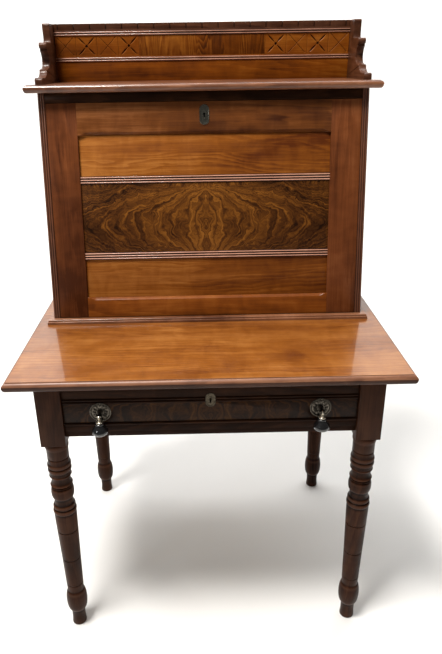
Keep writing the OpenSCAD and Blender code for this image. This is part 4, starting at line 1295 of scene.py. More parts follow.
@dataclass
class Drawer:
    """The frieze drawer with its burl field, beads and key plate.

    Attributes:
        reed: width of each of the two reeds above the burl.
        bead: width of the bead below it.
        sink: how deep the beads' middle line lies in the face.
        plate_room: radius that the beads leave free round a pull.
        key_room: half of the gap that they leave at the key plate.
    """

    finishes: Finishes
    reed: float = 6.5 * MM
    bead: float = 7.5 * MM
    sink: float = 0.8 * MM
    plate_room: float = 24 * MM
    key_room: float = 11.5 * MM

    def bead_run(self, height: float, width: float, start: float, end: float, face: float) -> Solid:
        """A half-round bead along X that stands out of the drawer's face.

        Args:
            height: height of its middle.
            width: its width.
            start: x where it begins.
            end: x where it ends.
            face: y of the drawer's face.

        Returns:
            The bead.
        """
        outline = arc((face + self.sink, height), (width / 2, width / 2), 90, 270, 14)
        return section_run(outline, start, end, Run.X, 0.4 * MM)

    def beading(self) -> None:
        """The reeds and the bead, stopped at the key plate and at the pulls' plates."""
        place, key = span("drawer_front"), span("drawer_escutcheon")
        pulls = [span("pull_shank_left"), span("pull_shank_right")]
        pull_z = pulls[0].high[2] - EYE_RADIUS
        beading = span("drawer_beading")
        rows = [(beading.high[2] - self.reed / 2, self.reed), (beading.high[2] - 1.5 * self.reed, self.reed),
                (beading.low[2] + self.bead / 2, self.bead)]
        runs = []
        for height, width in rows:
            stops = [(place.low[0], place.high[0])]
            gaps = []
            chord = self.plate_room ** 2 - (height - pull_z) ** 2
            if chord > 0:
                gaps += [(p.middle[0] - math.sqrt(chord), p.middle[0] + math.sqrt(chord)) for p in pulls]
            if key.low[2] < height < key.high[2]:
                gaps.append((-self.key_room, self.key_room))
            for low, high in sorted(gaps):
                last = stops.pop()
                stops += [(last[0], low), (high, last[1])]
            runs += [self.bead_run(height, width, low, high, place.low[1]) for low, high in stops]
        make_piece("drawer_beads", joined(runs), self.finishes.dark, Body.DRAWER, Grain(0, 1, 41),
                   ["drawer_beading"])

    def build(self) -> None:
        """Builds the drawer."""
        eased("drawer_front", self.finishes.dark, Body.DRAWER, Grain(0, 1, 43), 0.5 * MM)
        self.beading()
        eased("drawer_burl", self.finishes.burl_dark, Body.DRAWER, Grain(0, 1, 0), 0.15 * MM)
        place = span("drawer_escutcheon")
        x, _, z = place.middle
        plate = facing_front(key_plate(22 * MM, 34 * MM, place.high[1] - place.low[1], 2 * MM), (x, place.high[1], z))
        make_piece("drawer_key_plate", plate, self.finishes.brown_brass, Body.DRAWER,
                   None, ["drawer_escutcheon"])
        dress(self.finishes.poplar_y, Slot.SECONDARY, "drawer_sides", "drawer_bottom")
        dress(self.finishes.poplar_x, Slot.SECONDARY, "drawer_back")
        dress(self.finishes.brass, Slot.BRASS, "drawer_lock")


SHANK = np.array([[0, -9.5], [5.2, -9.5], [5.0, -8.4], [3.8, -7.2], [3.0, -6.0], [3.2, -4.8], [2.4, -3.6],
                  [0, -3.2]]) * MM
COLLAR = np.concatenate([
    [[0, 0], [5.6, 0]], arc((6, 1.7), (2, 1.7), -90, 60, 8), [[5.6, 3.4], [4.4, 3.5], [3.2, 4.5], [0, 4.5]],
]) * MM
DROP = np.concatenate([
    [[0, 0], [3.2, 0], [4.0, 0.5], [4.1, 1.1]], arc((0, 12), (18, 11), -74, 8, 16),
    [[17.2, 16], [15.8, 18.6], [13.6, 21.8], [11.2, 24.6], [9.4, 26.8], [8.5, 28]],
    arc((7.5, 30.1), (2.6, 2.3), -60, 90, 8), [[0, 32.4]],
]) * MM


@dataclass
class Pull:
    """A drop pull: an embossed plate with its post on the drawer, and the drop that swings.

    Attributes:
        side: -1 for the left pull, 1 for the right.
        plate_radius: the plate's radius.
        petals: leaves of the embossed rosette.
        pin_out: how far the pin stands out of the drawer's face.
        fork: how far each cheek lies from the middle, and its thickness.
        collar_drop: how far the collar hangs below the pin.
    """

    finishes: Finishes
    side: int
    plate_radius: float = 23.5 * MM
    petals: int = 12
    pin_out: float = 24 * MM
    fork: tuple[float, float] = (3.6 * MM, 2.5 * MM)
    collar_drop: float = 12.5 * MM

    @property
    def word(self) -> str:
        """The side in words."""
        return "left" if self.side < 0 else "right"

    def rosette(self) -> Solid:
        """The embossed plate, facing +Z on the origin.

        The height over radius r and angle a is a dome at the middle, a ring of petals that
        swells with the cosine of petals * a, a hollow, and a rim of small beads.

        Returns:
            The plate.
        """
        angle = np.linspace(0, 2 * math.pi, 192, endpoint=False)
        share = np.linspace(1, 0.02, 46)
        r, a = np.meshgrid(share, angle, indexing="ij")
        height = 1.5 + 0 * r
        height += 0.9 * np.exp(-((r - 0.91) / 0.05) ** 2) * (0.72 + 0.28 * np.cos(48 * a))
        height -= 0.4 * np.exp(-((r - 0.80) / 0.035) ** 2)
        leaf = np.clip(np.sin(np.pi * np.clip((r - 0.36) / 0.40, 0, 1)), 0, 1)
        height += 1.25 * leaf * (0.55 + 0.45 * np.cos(self.petals * a))
        height += 0.5 * leaf * np.clip(np.cos(self.petals * a), 0, 1) ** 6
        height += 2.6 * np.exp(-(r / 0.22) ** 4) + 0.5 * np.exp(-((r - 0.30) / 0.03) ** 2)
        radius = r * self.plate_radius
        face = np.stack([radius * np.cos(a), radius * np.sin(a), height * MM], axis=-1)
        rim = face[:1].copy()
        rim[..., 2] = 0
        low = rim.copy()
        low[..., 2] = 0.9 * MM
        face[0, :, :2] *= 0.985
        return lofted(np.concatenate([rim, low, face]))

    def build(self) -> None:
        """Builds the pull."""
        shank = span(f"pull_shank_{self.word}")
        plates = span("pull_plates")
        x, z = shank.middle[0], shank.high[2] - EYE_RADIUS
        face = plates.high[1]
        pin_y = face - self.pin_out
        make_piece(f"pull_rosette_{self.word}", facing_front(self.rosette(), (x, face, z)), self.finishes.plate,
                   Body.DRAWER, None, ["pull_plates"])
        post = turned(np.array([[0, 2], [6.4, 2.4], [6.6, 4.6], [5.4, 6.2], [4.0, 8], [3.7, 12], [4.2, 15.6],
                                [4.5, 17.4], [4.3, 18.8], [0, 18.8]]) * MM, (x, face, z), 32, Vector((0, -1, 0)))
        circle = arc((pin_y, z), (4.5 * MM, 4.5 * MM), 0, 345, 23)
        cheeks, arms = [], []
        for middle in (x - self.fork[0], x + self.fork[0]):
            low, high = middle - self.fork[1] / 2, middle + self.fork[1] / 2
            cheeks.append(section_run(circle, low, high, Run.X, 0.4 * MM))
            arms.append(board((low, pin_y, z - 3.5 * MM), (high, pin_y + 6.5 * MM, z + 3.5 * MM), 0.4 * MM))
        pin = section_run(arc((pin_y, z), (1.5 * MM, 1.5 * MM), 0, 330, 11), x - 5.4 * MM, x + 5.4 * MM, Run.X,
                          0.3 * MM)
        held = joined([post, pin, *cheeks, *arms])
        make_piece(f"pull_post_{self.word}", held, self.finishes.plate, Body.DRAWER)
        circle = arc((pin_y, z), (EYE_RADIUS, EYE_RADIUS), 0, 345, 23)
        eye = section_run(circle, x - 2 * MM, x + 2 * MM, Run.X, 0.5 * MM)
        collar = turned(COLLAR, (x, pin_y, z - self.collar_drop), 48)
        hanging = joined([eye, turned(SHANK, (x, pin_y, z), 24), collar])
        body = Body.PULL_LEFT if self.side < 0 else Body.PULL_RIGHT
        make_piece(f"pull_collar_{self.word}", hanging, self.finishes.collar, body, None,
                   [f"pull_shank_{self.word}"])
        drop = turned(DROP, (x, pin_y, span(f"pull_drop_{self.word}").low[2]), 64)
        make_piece(f"turned_drop_{self.word}", drop, self.finishes.ebony, body, None,
                   [f"pull_drop_{self.word}"])


# ---------------------------------------------------------------- cabinet

LEAN = math.radians(10)


@dataclass
class Cabinet:
    """The leaning case: sides with reeded fronts, back boards, foot moulding and cornice.

    Attributes:
        reeds: reeds down each side's front edge.
        boards: vertical boards in the back.
    """

    finishes: Finishes
    reeds: int = 3
    boards: int = 6

    def side(self, node: str, seed: int) -> None:
        """A side board: its plan at height z is drawn at the slope's y there, front edge scalloped into reeds.

        Args:
            node: the CAD node.
            seed: the stretch of log that it is cut from.
        """
        place = span(node)
        pitch = (place.high[0] - place.low[0]) / self.reeds
        depth = 1.5 * MM
        front = [arc((place.low[0] + (k + 0.5) * pitch, depth), (pitch / 2 - 0.25 * MM, depth), 190, 350, 8)
                 for k in range(self.reeds)]
        front = np.concatenate(front)
        back = np.array([[place.high[0], place.high[1]], [place.low[0], place.high[1]]])
        levels = np.array([place.low[2], place.high[2]])
        rings = np.empty((2, len(front) + 2, 3))
        for ring, z in zip(rings, levels):
            ring[:-2, 0] = front[:, 0]
            ring[:-2, 1] = front[:, 1] + (z - place.low[2]) * math.tan(LEAN)
            ring[-2:, :2] = back
            ring[:, 2] = z
        board = lofted(rings)
        # Painted shade in the grooves between the reeds and painted highlight on their crests.
        reed_shading = np.concatenate([np.tile(1.5 * np.linspace(-1, 1, 9) ** 2 - 0.7, self.reeds), [0, 0]])
        board.wear_and_shading = np.tile(reed_shading, 2)
        make_piece(node + "_board", board, self.finishes.case, Body.CARCASE,
                   Grain(2, 0, seed), [node])

    def foot_moulding(self) -> None:
        """The moulding round the cabinet's foot, mitred at the two front corners."""
        place, sides = span("base_mould"), span("case_side_left", "case_side_right")
        out, high = sides.low[0] - place.low[0], place.high[2] - place.low[2]
        profile = np.concatenate([
            [[0, 0], [out, 0], [out, high * 0.46]],
            arc((out - 1.5 * MM, high * 0.46), (1.5 * MM, high * 0.09), 0, 80, 4),
            [[out - 2.2 * MM, high * 0.60], [out - 2.6 * MM, high * 0.68]],
            arc((out - 5 * MM, high * 0.78), (2.8 * MM, high * 0.22), -20, 90, 9), [[0, high]],
        ])
        left, right, back = sides.low[0], sides.high[0], place.high[1]
        path = np.array([[left, back], [left, 0], [right, 0], [right, back]])
        outward = np.array([[-1, 0], [-1, -1], [1, -1], [1, 0]], float)
        make_piece("foot_moulding", mitred_run(profile, path, outward, place.low[2]), self.finishes.foot,
                   Body.CARCASE, Grain(0, 2, 61), ["base_mould"])

    def cornice(self) -> None:
        """The cornice board, moulded at the front and both sides."""
        place = span("cornice")
        slab = moulded_slab(place, moulded_edge(place.high[2] - place.low[2]), False)
        make_piece("cornice_board", slab, self.finishes.cornice, Body.CARCASE, Grain(0, 2, 66),
                   ["cornice"])

    def back(self) -> None:
        """The back: upright boards side by side."""
        place = span("case_back")
        edges = np.linspace(place.low[0], place.high[0], self.boards + 1)
        gap = 0.2 * MM
        boards = [board((left + gap, *place.low[1:]), (right - gap, *place.high[1:]))
                  for left, right in zip(edges[:-1], edges[1:])]
        for number, piece in enumerate(boards):
            piece.local = piece.local + np.array([0.0, 0.35 * number, 0.7 * number])
        make_piece("case_back_boards", joined(boards), self.finishes.poplar, Body.CARCASE,
                   Grain(2, 1, 71), ["case_back"])

    def build(self) -> None:
        """Builds the cabinet."""
        self.side("case_side_left", 51)
        self.side("case_side_right", 54)
        eased("case_floor", self.finishes.walnut, Body.CARCASE, Grain(0, 2, 57))
        eased("case_top_rail", self.finishes.dark, Body.CARCASE, Grain(0, 1, 59))
        self.foot_moulding()
        self.cornice()
        self.back()
        dress(self.finishes.brass, Slot.BRASS, "pivot_sockets", "stay_studs")


@dataclass
class Gallery:
    """The gallery: a carved board with a burl field between two shaped brackets.

    Attributes:
        frieze: heights of the carved band above the cornice.
        square: width of a carved square.
        carving: how deep the band's ground lies behind the face.
        kerf: the saw cuts' pitch, width, height and depth.
        reeds: heights of the reeds above the cornice.
        carved_wear_and_shading: depths in millimetres, and the wear and painted shading at each: pale at a cut's lip
            as painted highlight, dark in the deep cuts as painted shade with dirt.
    """

    finishes: Finishes
    frieze: tuple[float, float] = (59 * MM, 106 * MM)
    square: float = 53 * MM
    carving: float = 2.8 * MM
    kerf: tuple[float, float, float, float] = (40 * MM, 1.8 * MM, 14 * MM, 4 * MM)
    reeds: tuple[float, ...] = (49 * MM, 54.5 * MM, 108.5 * MM, 114 * MM)
    carved_wear_and_shading: tuple[tuple[float, ...], ...] = ((0, 0.08, 0.45, 0.9, 2.4), (0, -0.9, -0.5, 0.8, 1.0))

    def diagonals(self, a: np.ndarray, b: np.ndarray) -> tuple[np.ndarray, np.ndarray]:
        """Distance from the tile's middle along the nearer diagonal, and across it.

        Args:
            a: places across the tile.
            b: places up the tile.

        Returns:
            The two distances.
        """
        first, second = np.abs(a + b) / math.sqrt(2), np.abs(a - b) / math.sqrt(2)
        return np.maximum(first, second), np.minimum(first, second)

    def crossed_lines(self, a: np.ndarray, b: np.ndarray) -> np.ndarray:
        """Depth of two V-cuts along the diagonals, with a narrow cut down the tile's sides.

        Args:
            a: places across the tile.
            b: places up the tile.

        Returns:
            The depth at each place.
        """
        along, across = self.diagonals(a, b)
        cut = 1.5 * MM * np.clip(1 - across / (1.0 * MM), 0, 1) * np.clip((31 * MM - along) / (2 * MM), 0, 1)
        return np.maximum(cut, self.side_cut(a))

    def crossed_petals(self, a: np.ndarray, b: np.ndarray) -> np.ndarray:
        """Depth of four hollow petals along the diagonals and a drilled middle.

        Args:
            a: places across the tile.
            b: places up the tile.

        Returns:
            The depth at each place.
        """
        along, across = self.diagonals(a, b)
        share = np.clip(1 - ((along - 16.5 * MM) / (13.5 * MM)) ** 2, 0, 1)
        petal = 2.4 * MM * np.clip(1 - across / np.maximum(2.7 * MM * share, 0.01 * MM), 0, 1) * share ** 0.3
        hole = 2.5 * MM * np.clip((3.4 * MM - np.hypot(a, b)) / (0.6 * MM), 0, 1)
        return np.maximum(np.maximum(petal, hole), self.side_cut(a))

    def side_cut(self, a: np.ndarray) -> np.ndarray:
        """The cut between two squares."""
        return 1.2 * MM * np.clip(1 - (self.square / 2 - np.abs(a)) / (0.8 * MM), 0, 1)

    def kerfed_top(self, place: Span) -> list[Solid]:
        """The board above the frieze: a strip behind, and blocks in front with a kerf between each two.

        Args:
            place: the board's box.

        Returns:
            The solids.
        """
        pitch, width, depth, sunk = self.kerf
        count = int(place.high[0] / pitch)
        low, high, front = place.low[2] + self.frieze[1], place.high[2], place.low[1]
        cuts = np.arange(-count, count + 1) * pitch
        starts = np.concatenate([[place.low[0]], cuts + width / 2])
        ends = np.concatenate([cuts - width / 2, [place.high[0]]])
        strip = board((place.low[0], front + sunk - 0.4 * MM, low), place.high, 0.7 * MM)
        foot = board((place.low[0], front, low), (place.high[0], front + sunk, high - depth), 0.2 * MM)
        blocks = [board((start, front, high - depth - 0.3 * MM), (end, front + sunk, high), 0.8 * MM)
                  for start, end in zip(starts, ends)]
        # The strip's face, seen down the kerfs between the blocks, is darkened: painted shade with dirt.
        strip.wear_and_shading = np.where(strip.points[:, 1] < front + sunk, 0.9, 0.0)
        return [strip, foot, *blocks]

    def board(self) -> None:
        """The whole board with its carved squares and reeds."""
        place = span("gallery_back")
        place = Span(np.array([place.low[0], place.high[1] - 18 * MM, place.low[2]]), place.high)
        base = place.low[2]
        lower = board(place.low, (place.high[0], place.high[1], base + self.frieze[0]), 0.3 * MM)
        core = board((place.low[0], place.low[1] + self.carving, base + self.frieze[0]),
                     (place.high[0], place.high[1], base + self.frieze[1]), 0.1 * MM)
        edge = joined(self.kerfed_top(place))
        make_piece("gallery_kerfed_edge", edge, self.finishes.shaded_bracket, Body.CARCASE,
                   Grain(0, 1, 79))
        parts = [lower, core]
        middle = base + sum(self.frieze) / 2
        height = self.frieze[1] - self.frieze[0]
        for number in range(4):
            depth = self.crossed_petals if number % 2 else self.crossed_lines
            tile = relief_tile(self.square, height, self.carving, depth, 0.55 * MM)
            x = place.high[0] - (number + 0.5) * self.square
            # Pale at each cut's lip as painted highlight, dark in the deep cuts as painted shade with dirt.
            tile.wear_and_shading = np.interp(tile.points[:, 1] / MM, *self.carved_wear_and_shading)
            parts += [shifted(tile, (s * x, place.low[1], middle)) for s in (-1, 1)]
        runs = []
        for up in self.reeds:
            outline = arc((place.low[1], base + up), (2 * MM, 2 * MM), 90, 270, 10)
            run = section_run(outline, place.low[0], place.high[0], Run.X, 0.3 * MM)
            proud = (place.low[1] - run.points[:, 1]) / MM
            # Dark at the reeds' foot as painted shade, pale on their crests as painted highlight.
            run.wear_and_shading = np.interp(proud, [0.0, 1.5, 1.85, 2.0], [1.0, 0.8, -0.1, -1.0])
            runs.append(run)
        make_piece("gallery_reeds", joined(runs), self.finishes.reed, Body.CARCASE, Grain(0, 1, 77))
        whole = joined(parts)
        whole.local = whole.points.copy()
        make_piece("gallery_board", whole, self.finishes.gallery, Body.CARCASE, Grain(0, 1, 81),
                   ["gallery_back"])
        burl = span("gallery_burl")
        veneer = board(burl.low, (burl.high[0], place.low[1] + self.carving, burl.high[2]), 0.15 * MM)
        make_piece("gallery_burl_leaf", veneer, self.finishes.flame, Body.CARCASE,
                   Grain(2, 1, 83), ["gallery_burl"])

    def brackets(self) -> None:
        """The two shaped ends: one outline with its arrises rounded."""
        place = span("gallery_brackets")
        back, base = place.high[1], place.low[2]
        outline = np.concatenate([
            [[0, 0], [0, 134]], arc((-54, 128), (6, 6), 90, 180, 6), [[-59.6, 112], [-59, 105]],
            arc((-66, 104), (7, 13), 0, -80, 8), arc((-108, 84), (8, 7), 90, 270, 16),
            arc((-120, 53), (22, 22), 60, -50, 16), [[-128, 32], [-134, 30]], arc((-168, 36), (34, 22), -10, -85, 12),
            arc((-186, 8), (8, 7), 90, 180, 8), [[-194, 0]],
        ]) * MM + np.array([back, base])
        both = joined([section_run(outline, place.low[0], place.low[0] + 18 * MM, Run.X, 1.3 * MM),
                       section_run(outline, place.high[0] - 18 * MM, place.high[0], Run.X, 1.3 * MM)])
        make_piece("gallery_brackets_shaped", both, self.finishes.shaded_bracket, Body.CARCASE,
                   Grain(1, 0, 86), ["gallery_brackets"])

    def build(self) -> None:
        """Builds the gallery."""
        self.board()
        self.brackets()


# ---------------------------------------------------------------- fall front

@dataclass
class Fall:
    """The fall front: a framed panel that leans with the cabinet.

    Its pieces are drawn with X across, Y up the slope from the lower edge, and Z out of
    the front face.

    Attributes:
        start: y and z of the lower edge's front arris.
        length: its height up the slope.
        half: half of its width.
        stile: width of the stiles.
        rails: widths of the bottom and top rails.
        thickness: thickness of the frame and the panel's back.
        recess: how far the panel lies behind the frame's face.
        chamfer: width of the chamfer on the rails.
        stop: plain length at each end of a chamfer.
        ease: length over which a chamfer runs out.
        bands: heights of the two bands of reeds.
        band_width: width of a band.
    """

    finishes: Finishes
    start: tuple[float, float] = (2.2217 * MM, 752.6 * MM)
    length: float = 512 * MM
    half: float = 370.8 * MM
    stile: float = 71 * MM
    rails: tuple[float, float] = (50 * MM, 73 * MM)
    thickness: float = 20 * MM
    recess: float = 6 * MM
    chamfer: float = 7 * MM
    stop: float = 1 * MM
    ease: float = 20 * MM
    bands: tuple[float, float] = (144 * MM, 327 * MM)
    band_width: float = 18 * MM

    def placed(self, solid: Solid) -> Solid:
        """Turns a solid from the fall's own frame into the desk's.

        Args:
            solid: a solid in the fall's own frame.

        Returns:
            The solid in the desk's frame.
        """
        x, up, out = solid.points.T
        s, c = math.sin(LEAN), math.cos(LEAN)
        points = np.stack([x, self.start[0] + up * s - out * c, self.start[1] + up * c + out * s], axis=1)
        return Solid(points, solid.faces, solid.local, solid.wear_and_shading)

    def add(self, name: str, solid: Solid, finish: bpy.types.Material, slot: Slot, grain: Grain | None,
            nodes: list[str]) -> bpy.types.Object:
        """Places a solid and makes it a piece of the fall."""
        return make_piece(name, self.placed(solid), finish, Body.FALL, grain, nodes)

    def rail(self, low: float, high: float, panel_edge: float) -> Solid:
        """A rail whose arris at the panel is chamfered and stopped.

        Ring k is the section at x; its chamfer is the full width times a smooth step that
        falls to nothing over the easing length before each stop.

        Args:
            low: its lower edge.
            high: its upper edge.
            panel_edge: which of the two meets the panel.

        Returns:
            The closed rail.
        """
        open_half = self.half - self.stile
        x = np.linspace(-open_half, -open_half + self.stop + self.ease, 26)
        x = np.concatenate([x, -x[::-1]])
        share = np.clip((open_half - self.stop - np.abs(x)) / self.ease, 0, 1)
        cut = np.maximum(self.chamfer * share ** 2 * (3 - 2 * share), 0.5 * MM)
        back = -self.thickness
        inward = 1.0 if panel_edge == low else -1.0
        rings = []
        for place, c in zip(x, cut):
            corners = [[panel_edge, back], [high + low - panel_edge, back], [high + low - panel_edge, 0.0],
                       [panel_edge + inward * c, 0.0], [panel_edge, -c]]
            outline = softened(np.array(corners if inward > 0 else corners[::-1]), 0.5 * MM)
            rings.append(np.column_stack([np.full(len(outline), place), outline]))
        return lofted(np.array(rings))

    def reed_band(self, low: float) -> Solid:
        """Three reeds side by side on a thin strip.

        Args:
            low: height of its lower edge.

        Returns:
            The band, with its wear and painted shading: dark at its foot, pale on the crests.
        """
        open_half = self.half - self.stile
        outline = half_round_band(low, self.band_width, 3, 2.6 * MM, 2.9 * MM)[::-1, ::-1].copy()
        outline[:, 1] -= 4 * MM
        band = section_run(outline, -open_half, open_half, Run.X, 0.1 * MM)
        # Dark at the reeds' foot as painted shade, pale on their crests as painted highlight.
        band.wear_and_shading = np.clip(1.0 - (band.points[:, 2] + 4 * MM) / (1.2 * MM), -1.0, 1.0)
        return band

    def build(self) -> None:
        """Builds the fall."""
        f = self.finishes
        open_half = self.half - self.stile
        for side, seed in ((-1, 91), (1, 94)):
            word = "left" if side < 0 else "right"
            edges = sorted((side * open_half, side * self.half))
            stile = board((edges[0], 0, -self.thickness), (edges[1], self.length, 0), 0.8 * MM)
            grain = Grain(1, 2, seed, -0.15, 0.14 if side < 0 else 0.02)
            self.add(f"stile_{word}", stile, f.stile, Slot.WALNUT, grain, [f"fall_stile_{word}"])
        bottom, top = self.rails[0], self.length - self.rails[1]
        # The top rail grows darker towards the right: a painted part of the cornice's shadow.
        rail = self.add("top_rail", self.rail(top, self.length, top), f.rail_top, Slot.WALNUT, Grain(0, 2, 97, 0.4),
                        ["fall_top_rail"])
        self.add("bottom_rail", self.rail(0.0, bottom, bottom), f.rail, Slot.WALNUT, Grain(0, 2, 101),
                 ["fall_bottom_rail"])
        panel = board((-open_half, bottom, -self.thickness), (open_half, top, -self.recess), 0.2 * MM)
        # The panel grows darker towards the right: a painted falloff of the light from the left.
        self.add("panel", panel, f.panel, Slot.WALNUT, Grain(0, 2, 104, 0.48), ["fall_panel"])
        bands = joined([self.reed_band(low) for low in self.bands])
        self.add("reed_bands", bands, f.reed, Slot.WALNUT, Grain(0, 2, 107), ["fall_reeds"])
        leaf = board((-open_half, self.bands[0] + self.band_width, -self.recess),
                     (open_half, self.bands[1], -4 * MM), 0.15 * MM)
        self.add("burl_leaf", leaf, f.burl, Slot.BURL, Grain(0, 2, 0), ["fall_burl"])
        bored(rail, self.placed(shifted(key_plug(24 * MM), (0, 484 * MM, -22 * MM))))
        plate = shifted(key_plate(23 * MM, 46 * MM, 1.2 * MM, 2 * MM), (0, 482 * MM, 0))
        self.add("fall_key_plate", plate, f.key_plate, Slot.BRASS, None, ["fall_escutcheon"])
        # The lock behind the keyhole is made near black so that the keyhole reads as a painted shadow.
        dress(f.shadow, Slot.BRASS, "fall_lock")
        dress(f.brass, Slot.BRASS, "fall_pivots", "stay_ears", "stay_bar_left", "stay_bar_right")


# ---------------------------------------------------------------- fitment

@dataclass
class Fitment:
    """The pigeonholes, shelves and two small drawers behind the fall."""

    finishes: Finishes

    def small_drawer(self, word: str, body: Body, seed: int) -> None:
        """One small drawer: an eased front with a turned brass knob on a plain box.

        Args:
            word: left or right.
            body: what it moves with.
            seed: the stretch of log that its front is cut from.
        """
        front, knob = span(f"small_drawer_{word}_front"), span(f"small_drawer_{word}_knob")
        make_piece(f"small_{word}_front", board(front.low, front.high, 1.0 * MM), self.finishes.walnut, body,
                   Grain(0, 1, seed), [f"small_drawer_{word}_front"])
        x, _, z = knob.middle
        profile = np.concatenate([[[0, -3], [4.6, 0], [4.8, 1.2], [3.0, 2.2], [2.6, 5.0]],
                                  arc((0, 9), (6.5, 4), -60, 80, 12), [[0, 13]]]) * MM
        make_piece(f"small_{word}_knob", turned(profile, (x, front.low[1], z), 40, Vector((0, -1, 0))),
                   self.finishes.brass, body, None, [f"small_drawer_{word}_knob"])
        dress(self.finishes.poplar_y, Slot.SECONDARY, f"small_drawer_{word}_box")

    def build(self) -> None:
        """Builds the fitment."""
        dress(self.finishes.walnut_x, Slot.WALNUT, "fitment_shelves")
        dress(self.finishes.walnut_z, Slot.WALNUT, "fitment_ends", "fitment_dividers")
        self.small_drawer("left", Body.SMALL_LEFT, 111)
        self.small_drawer("right", Body.SMALL_RIGHT, 114)


# ---------------------------------------------------------------- studio

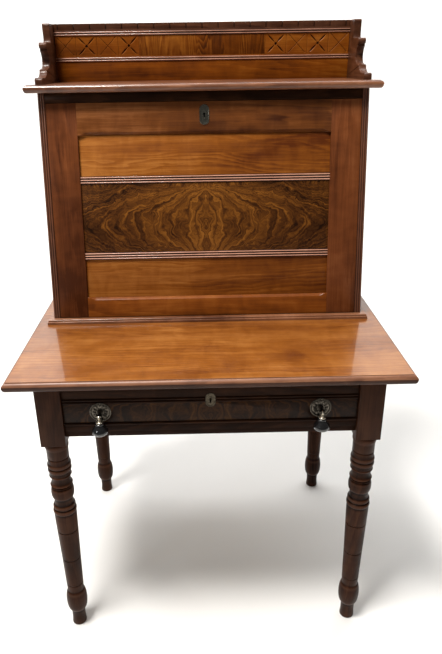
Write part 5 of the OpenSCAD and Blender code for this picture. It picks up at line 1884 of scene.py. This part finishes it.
@dataclass
class Studio:
    """A pale floor that rises into a wall, soft lights, and the camera.

    Attributes:
        floor_front: y of the floor's front edge.
        wall: y of the wall.
        bend: radius between floor and wall.
        height: the wall's height.
        half_width: half of the floor's width.
        eye: where the camera stands.
        aim: the camera's yaw, pitch and roll in radians.
        focal: the lens's focal length as a share of the frame's longer side.
        shift: the lens's shift.
        glow: strength of the surround as a light, and as it is seen.
    """

    floor_front: float = -4.0
    wall: float = 2.6
    bend: float = 1.0
    height: float = 4.5
    half_width: float = 6.0
    eye: tuple[float, float, float] = (-0.016429, -1.41954, 1.35001)
    aim: tuple[float, float, float] = (0.011118, -0.407888, -0.015376)
    focal: float = 609.69 / 654
    shift: tuple[float, float] = ((442 / 2 - 207.588) / 654, (320.994 - 654 / 2) / 654)
    glow: tuple[float, float] = (0.12, 1.0)

    def sweep(self) -> None:
        """Floor and wall as one sheet: a line, a quarter round and a line, carried along X."""
        curve = np.concatenate([[[self.floor_front, 0.0]],
                                arc((self.wall - self.bend, self.bend), (self.bend, self.bend), -90, 0, 16),
                                [[self.wall, self.height]]])
        x = np.array([-self.half_width, self.half_width])
        points = np.stack([np.repeat(x, len(curve)), np.tile(curve[:, 0], 2), np.tile(curve[:, 1], 2)], axis=1)
        size = len(curve)
        faces = [(size + i, size + i + 1, i + 1, i) for i in range(size - 1)]
        mesh = bpy.data.meshes.new("studio_sweep")
        mesh.from_pydata(points.tolist(), [], faces)
        mesh.shade_smooth()
        mesh.materials.append(self.paper())
        shown("studio_sweep", mesh)

    def paper(self) -> bpy.types.Material:
        """Matt pale paper that is seen from its face only, so the desk's back can be looked at too.

        Returns:
            The material.
        """
        paper = PlainFinish("studio_paper", (0.86, 0.855, 0.84), 0.7, cloud_scale=2.0, depth=0.02).make()
        tree = paper.node_tree
        output = next(node for node in tree.nodes if node.type == "OUTPUT_MATERIAL")
        face = output.inputs["Surface"].links[0].from_socket
        mix, clear, side = (tree.nodes.new(kind) for kind in
                            ("ShaderNodeMixShader", "ShaderNodeBsdfTransparent", "ShaderNodeNewGeometry"))
        tree.links.new(side.outputs["Backfacing"], mix.inputs[0])
        tree.links.new(face, mix.inputs[1])
        tree.links.new(clear.outputs[0], mix.inputs[2])
        tree.links.new(mix.outputs[0], output.inputs["Surface"])
        return paper

    def surround(self) -> bpy.types.World:
        """A surround that lights weakly and looks as pale as the paper.

        Returns:
            The surround.
        """
        world = bpy.data.worlds.new("surround")
        world.use_nodes = True
        tree = world.node_tree
        glow = tree.nodes["Background"]
        glow.inputs[0].default_value = (1.0, 0.985, 0.96, 1.0)
        path, strength = tree.nodes.new("ShaderNodeLightPath"), tree.nodes.new("ShaderNodeMapRange")
        strength.inputs["To Min"].default_value, strength.inputs["To Max"].default_value = self.glow
        tree.links.new(path.outputs["Is Camera Ray"], strength.inputs["Value"])
        tree.links.new(strength.outputs[0], glow.inputs[1])
        return world

    def area(self, name: str, at: tuple[float, float, float], aim: tuple[float, float, float],
             size: tuple[float, float], power: float, colour: tuple[float, float, float] = (1, 1, 1)) -> None:
        """Adds a soft rectangular light.

        Args:
            name: the light's name.
            at: where it hangs.
            aim: the point that it faces.
            size: its width and height.
            power: in watts.
            colour: its tint.
        """
        lamp = bpy.data.lights.new(name, "AREA")
        lamp.shape = "RECTANGLE"
        lamp.size, lamp.size_y = size
        lamp.energy = power
        lamp.color = colour
        piece = shown(name, lamp)
        piece.location = at
        piece.rotation_euler = (Vector(aim) - Vector(at)).to_track_quat("-Z", "Y").to_euler()

    def lights(self) -> None:
        """A strong light high in front, soft ones above, at the left and on the wall, and a pale surround."""
        self.area("key", (-1.1, -1.02, 4.6), (-0.1, 0.05, 0.9), (1.2, 0.6), 250, (1.0, 0.97, 0.93))
        self.area("overhead", (0.3, 0.9, 3.3), (0.0, 0.3, 0.7), (2.6, 1.4), 30)
        self.area("fill", (-2.1, -2.3, 1.9), (0.0, 0.0, 0.9), (0.3, 0.3), 6.5)
        self.area("backdrop", (0.0, 1.0, 3.4), (0.0, 2.6, 1.2), (4.0, 1.0), 60)
        bpy.context.scene.world = self.surround()

    def camera(self) -> None:
        """The camera, a little above the desk and straight in front of it."""
        yaw, pitch, roll = self.aim
        ahead = Vector((math.sin(yaw) * math.cos(pitch), math.cos(yaw) * math.cos(pitch), math.sin(pitch)))
        right = Vector((math.cos(yaw), -math.sin(yaw), 0))
        up = right.cross(ahead)
        rolled_right = right * math.cos(roll) + up * math.sin(roll)
        rolled_up = up * math.cos(roll) - right * math.sin(roll)
        turn = Matrix([rolled_right, rolled_up, -ahead]).transposed().to_4x4()
        lens = bpy.data.cameras.new("camera")
        lens.sensor_width = 36.0
        lens.lens = lens.sensor_width * self.focal
        lens.shift_x, lens.shift_y = self.shift
        lens.clip_start = 0.05
        piece = shown("camera", lens)
        piece.matrix_world = Matrix.Translation(self.eye) @ turn
        bpy.context.scene.camera = piece

    def build(self) -> None:
        """Sets the stage."""
        self.sweep()
        self.lights()
        self.camera()
        bpy.context.scene.view_settings.view_transform = "Standard"


def main() -> None:
    """Builds the desk and its studio."""
    logging.basicConfig(level=logging.INFO, format="%(name)s %(message)s")
    finishes = Finishes()
    for assembly in (Table(finishes), Drawer(finishes), Pull(finishes, -1), Pull(finishes, 1), Cabinet(finishes),
                     Gallery(finishes), Fall(finishes), Fitment(finishes), Studio()):
        LOG.info("building %s", type(assembly).__name__)
        assembly.build()


if __name__ == "__main__":
    main()
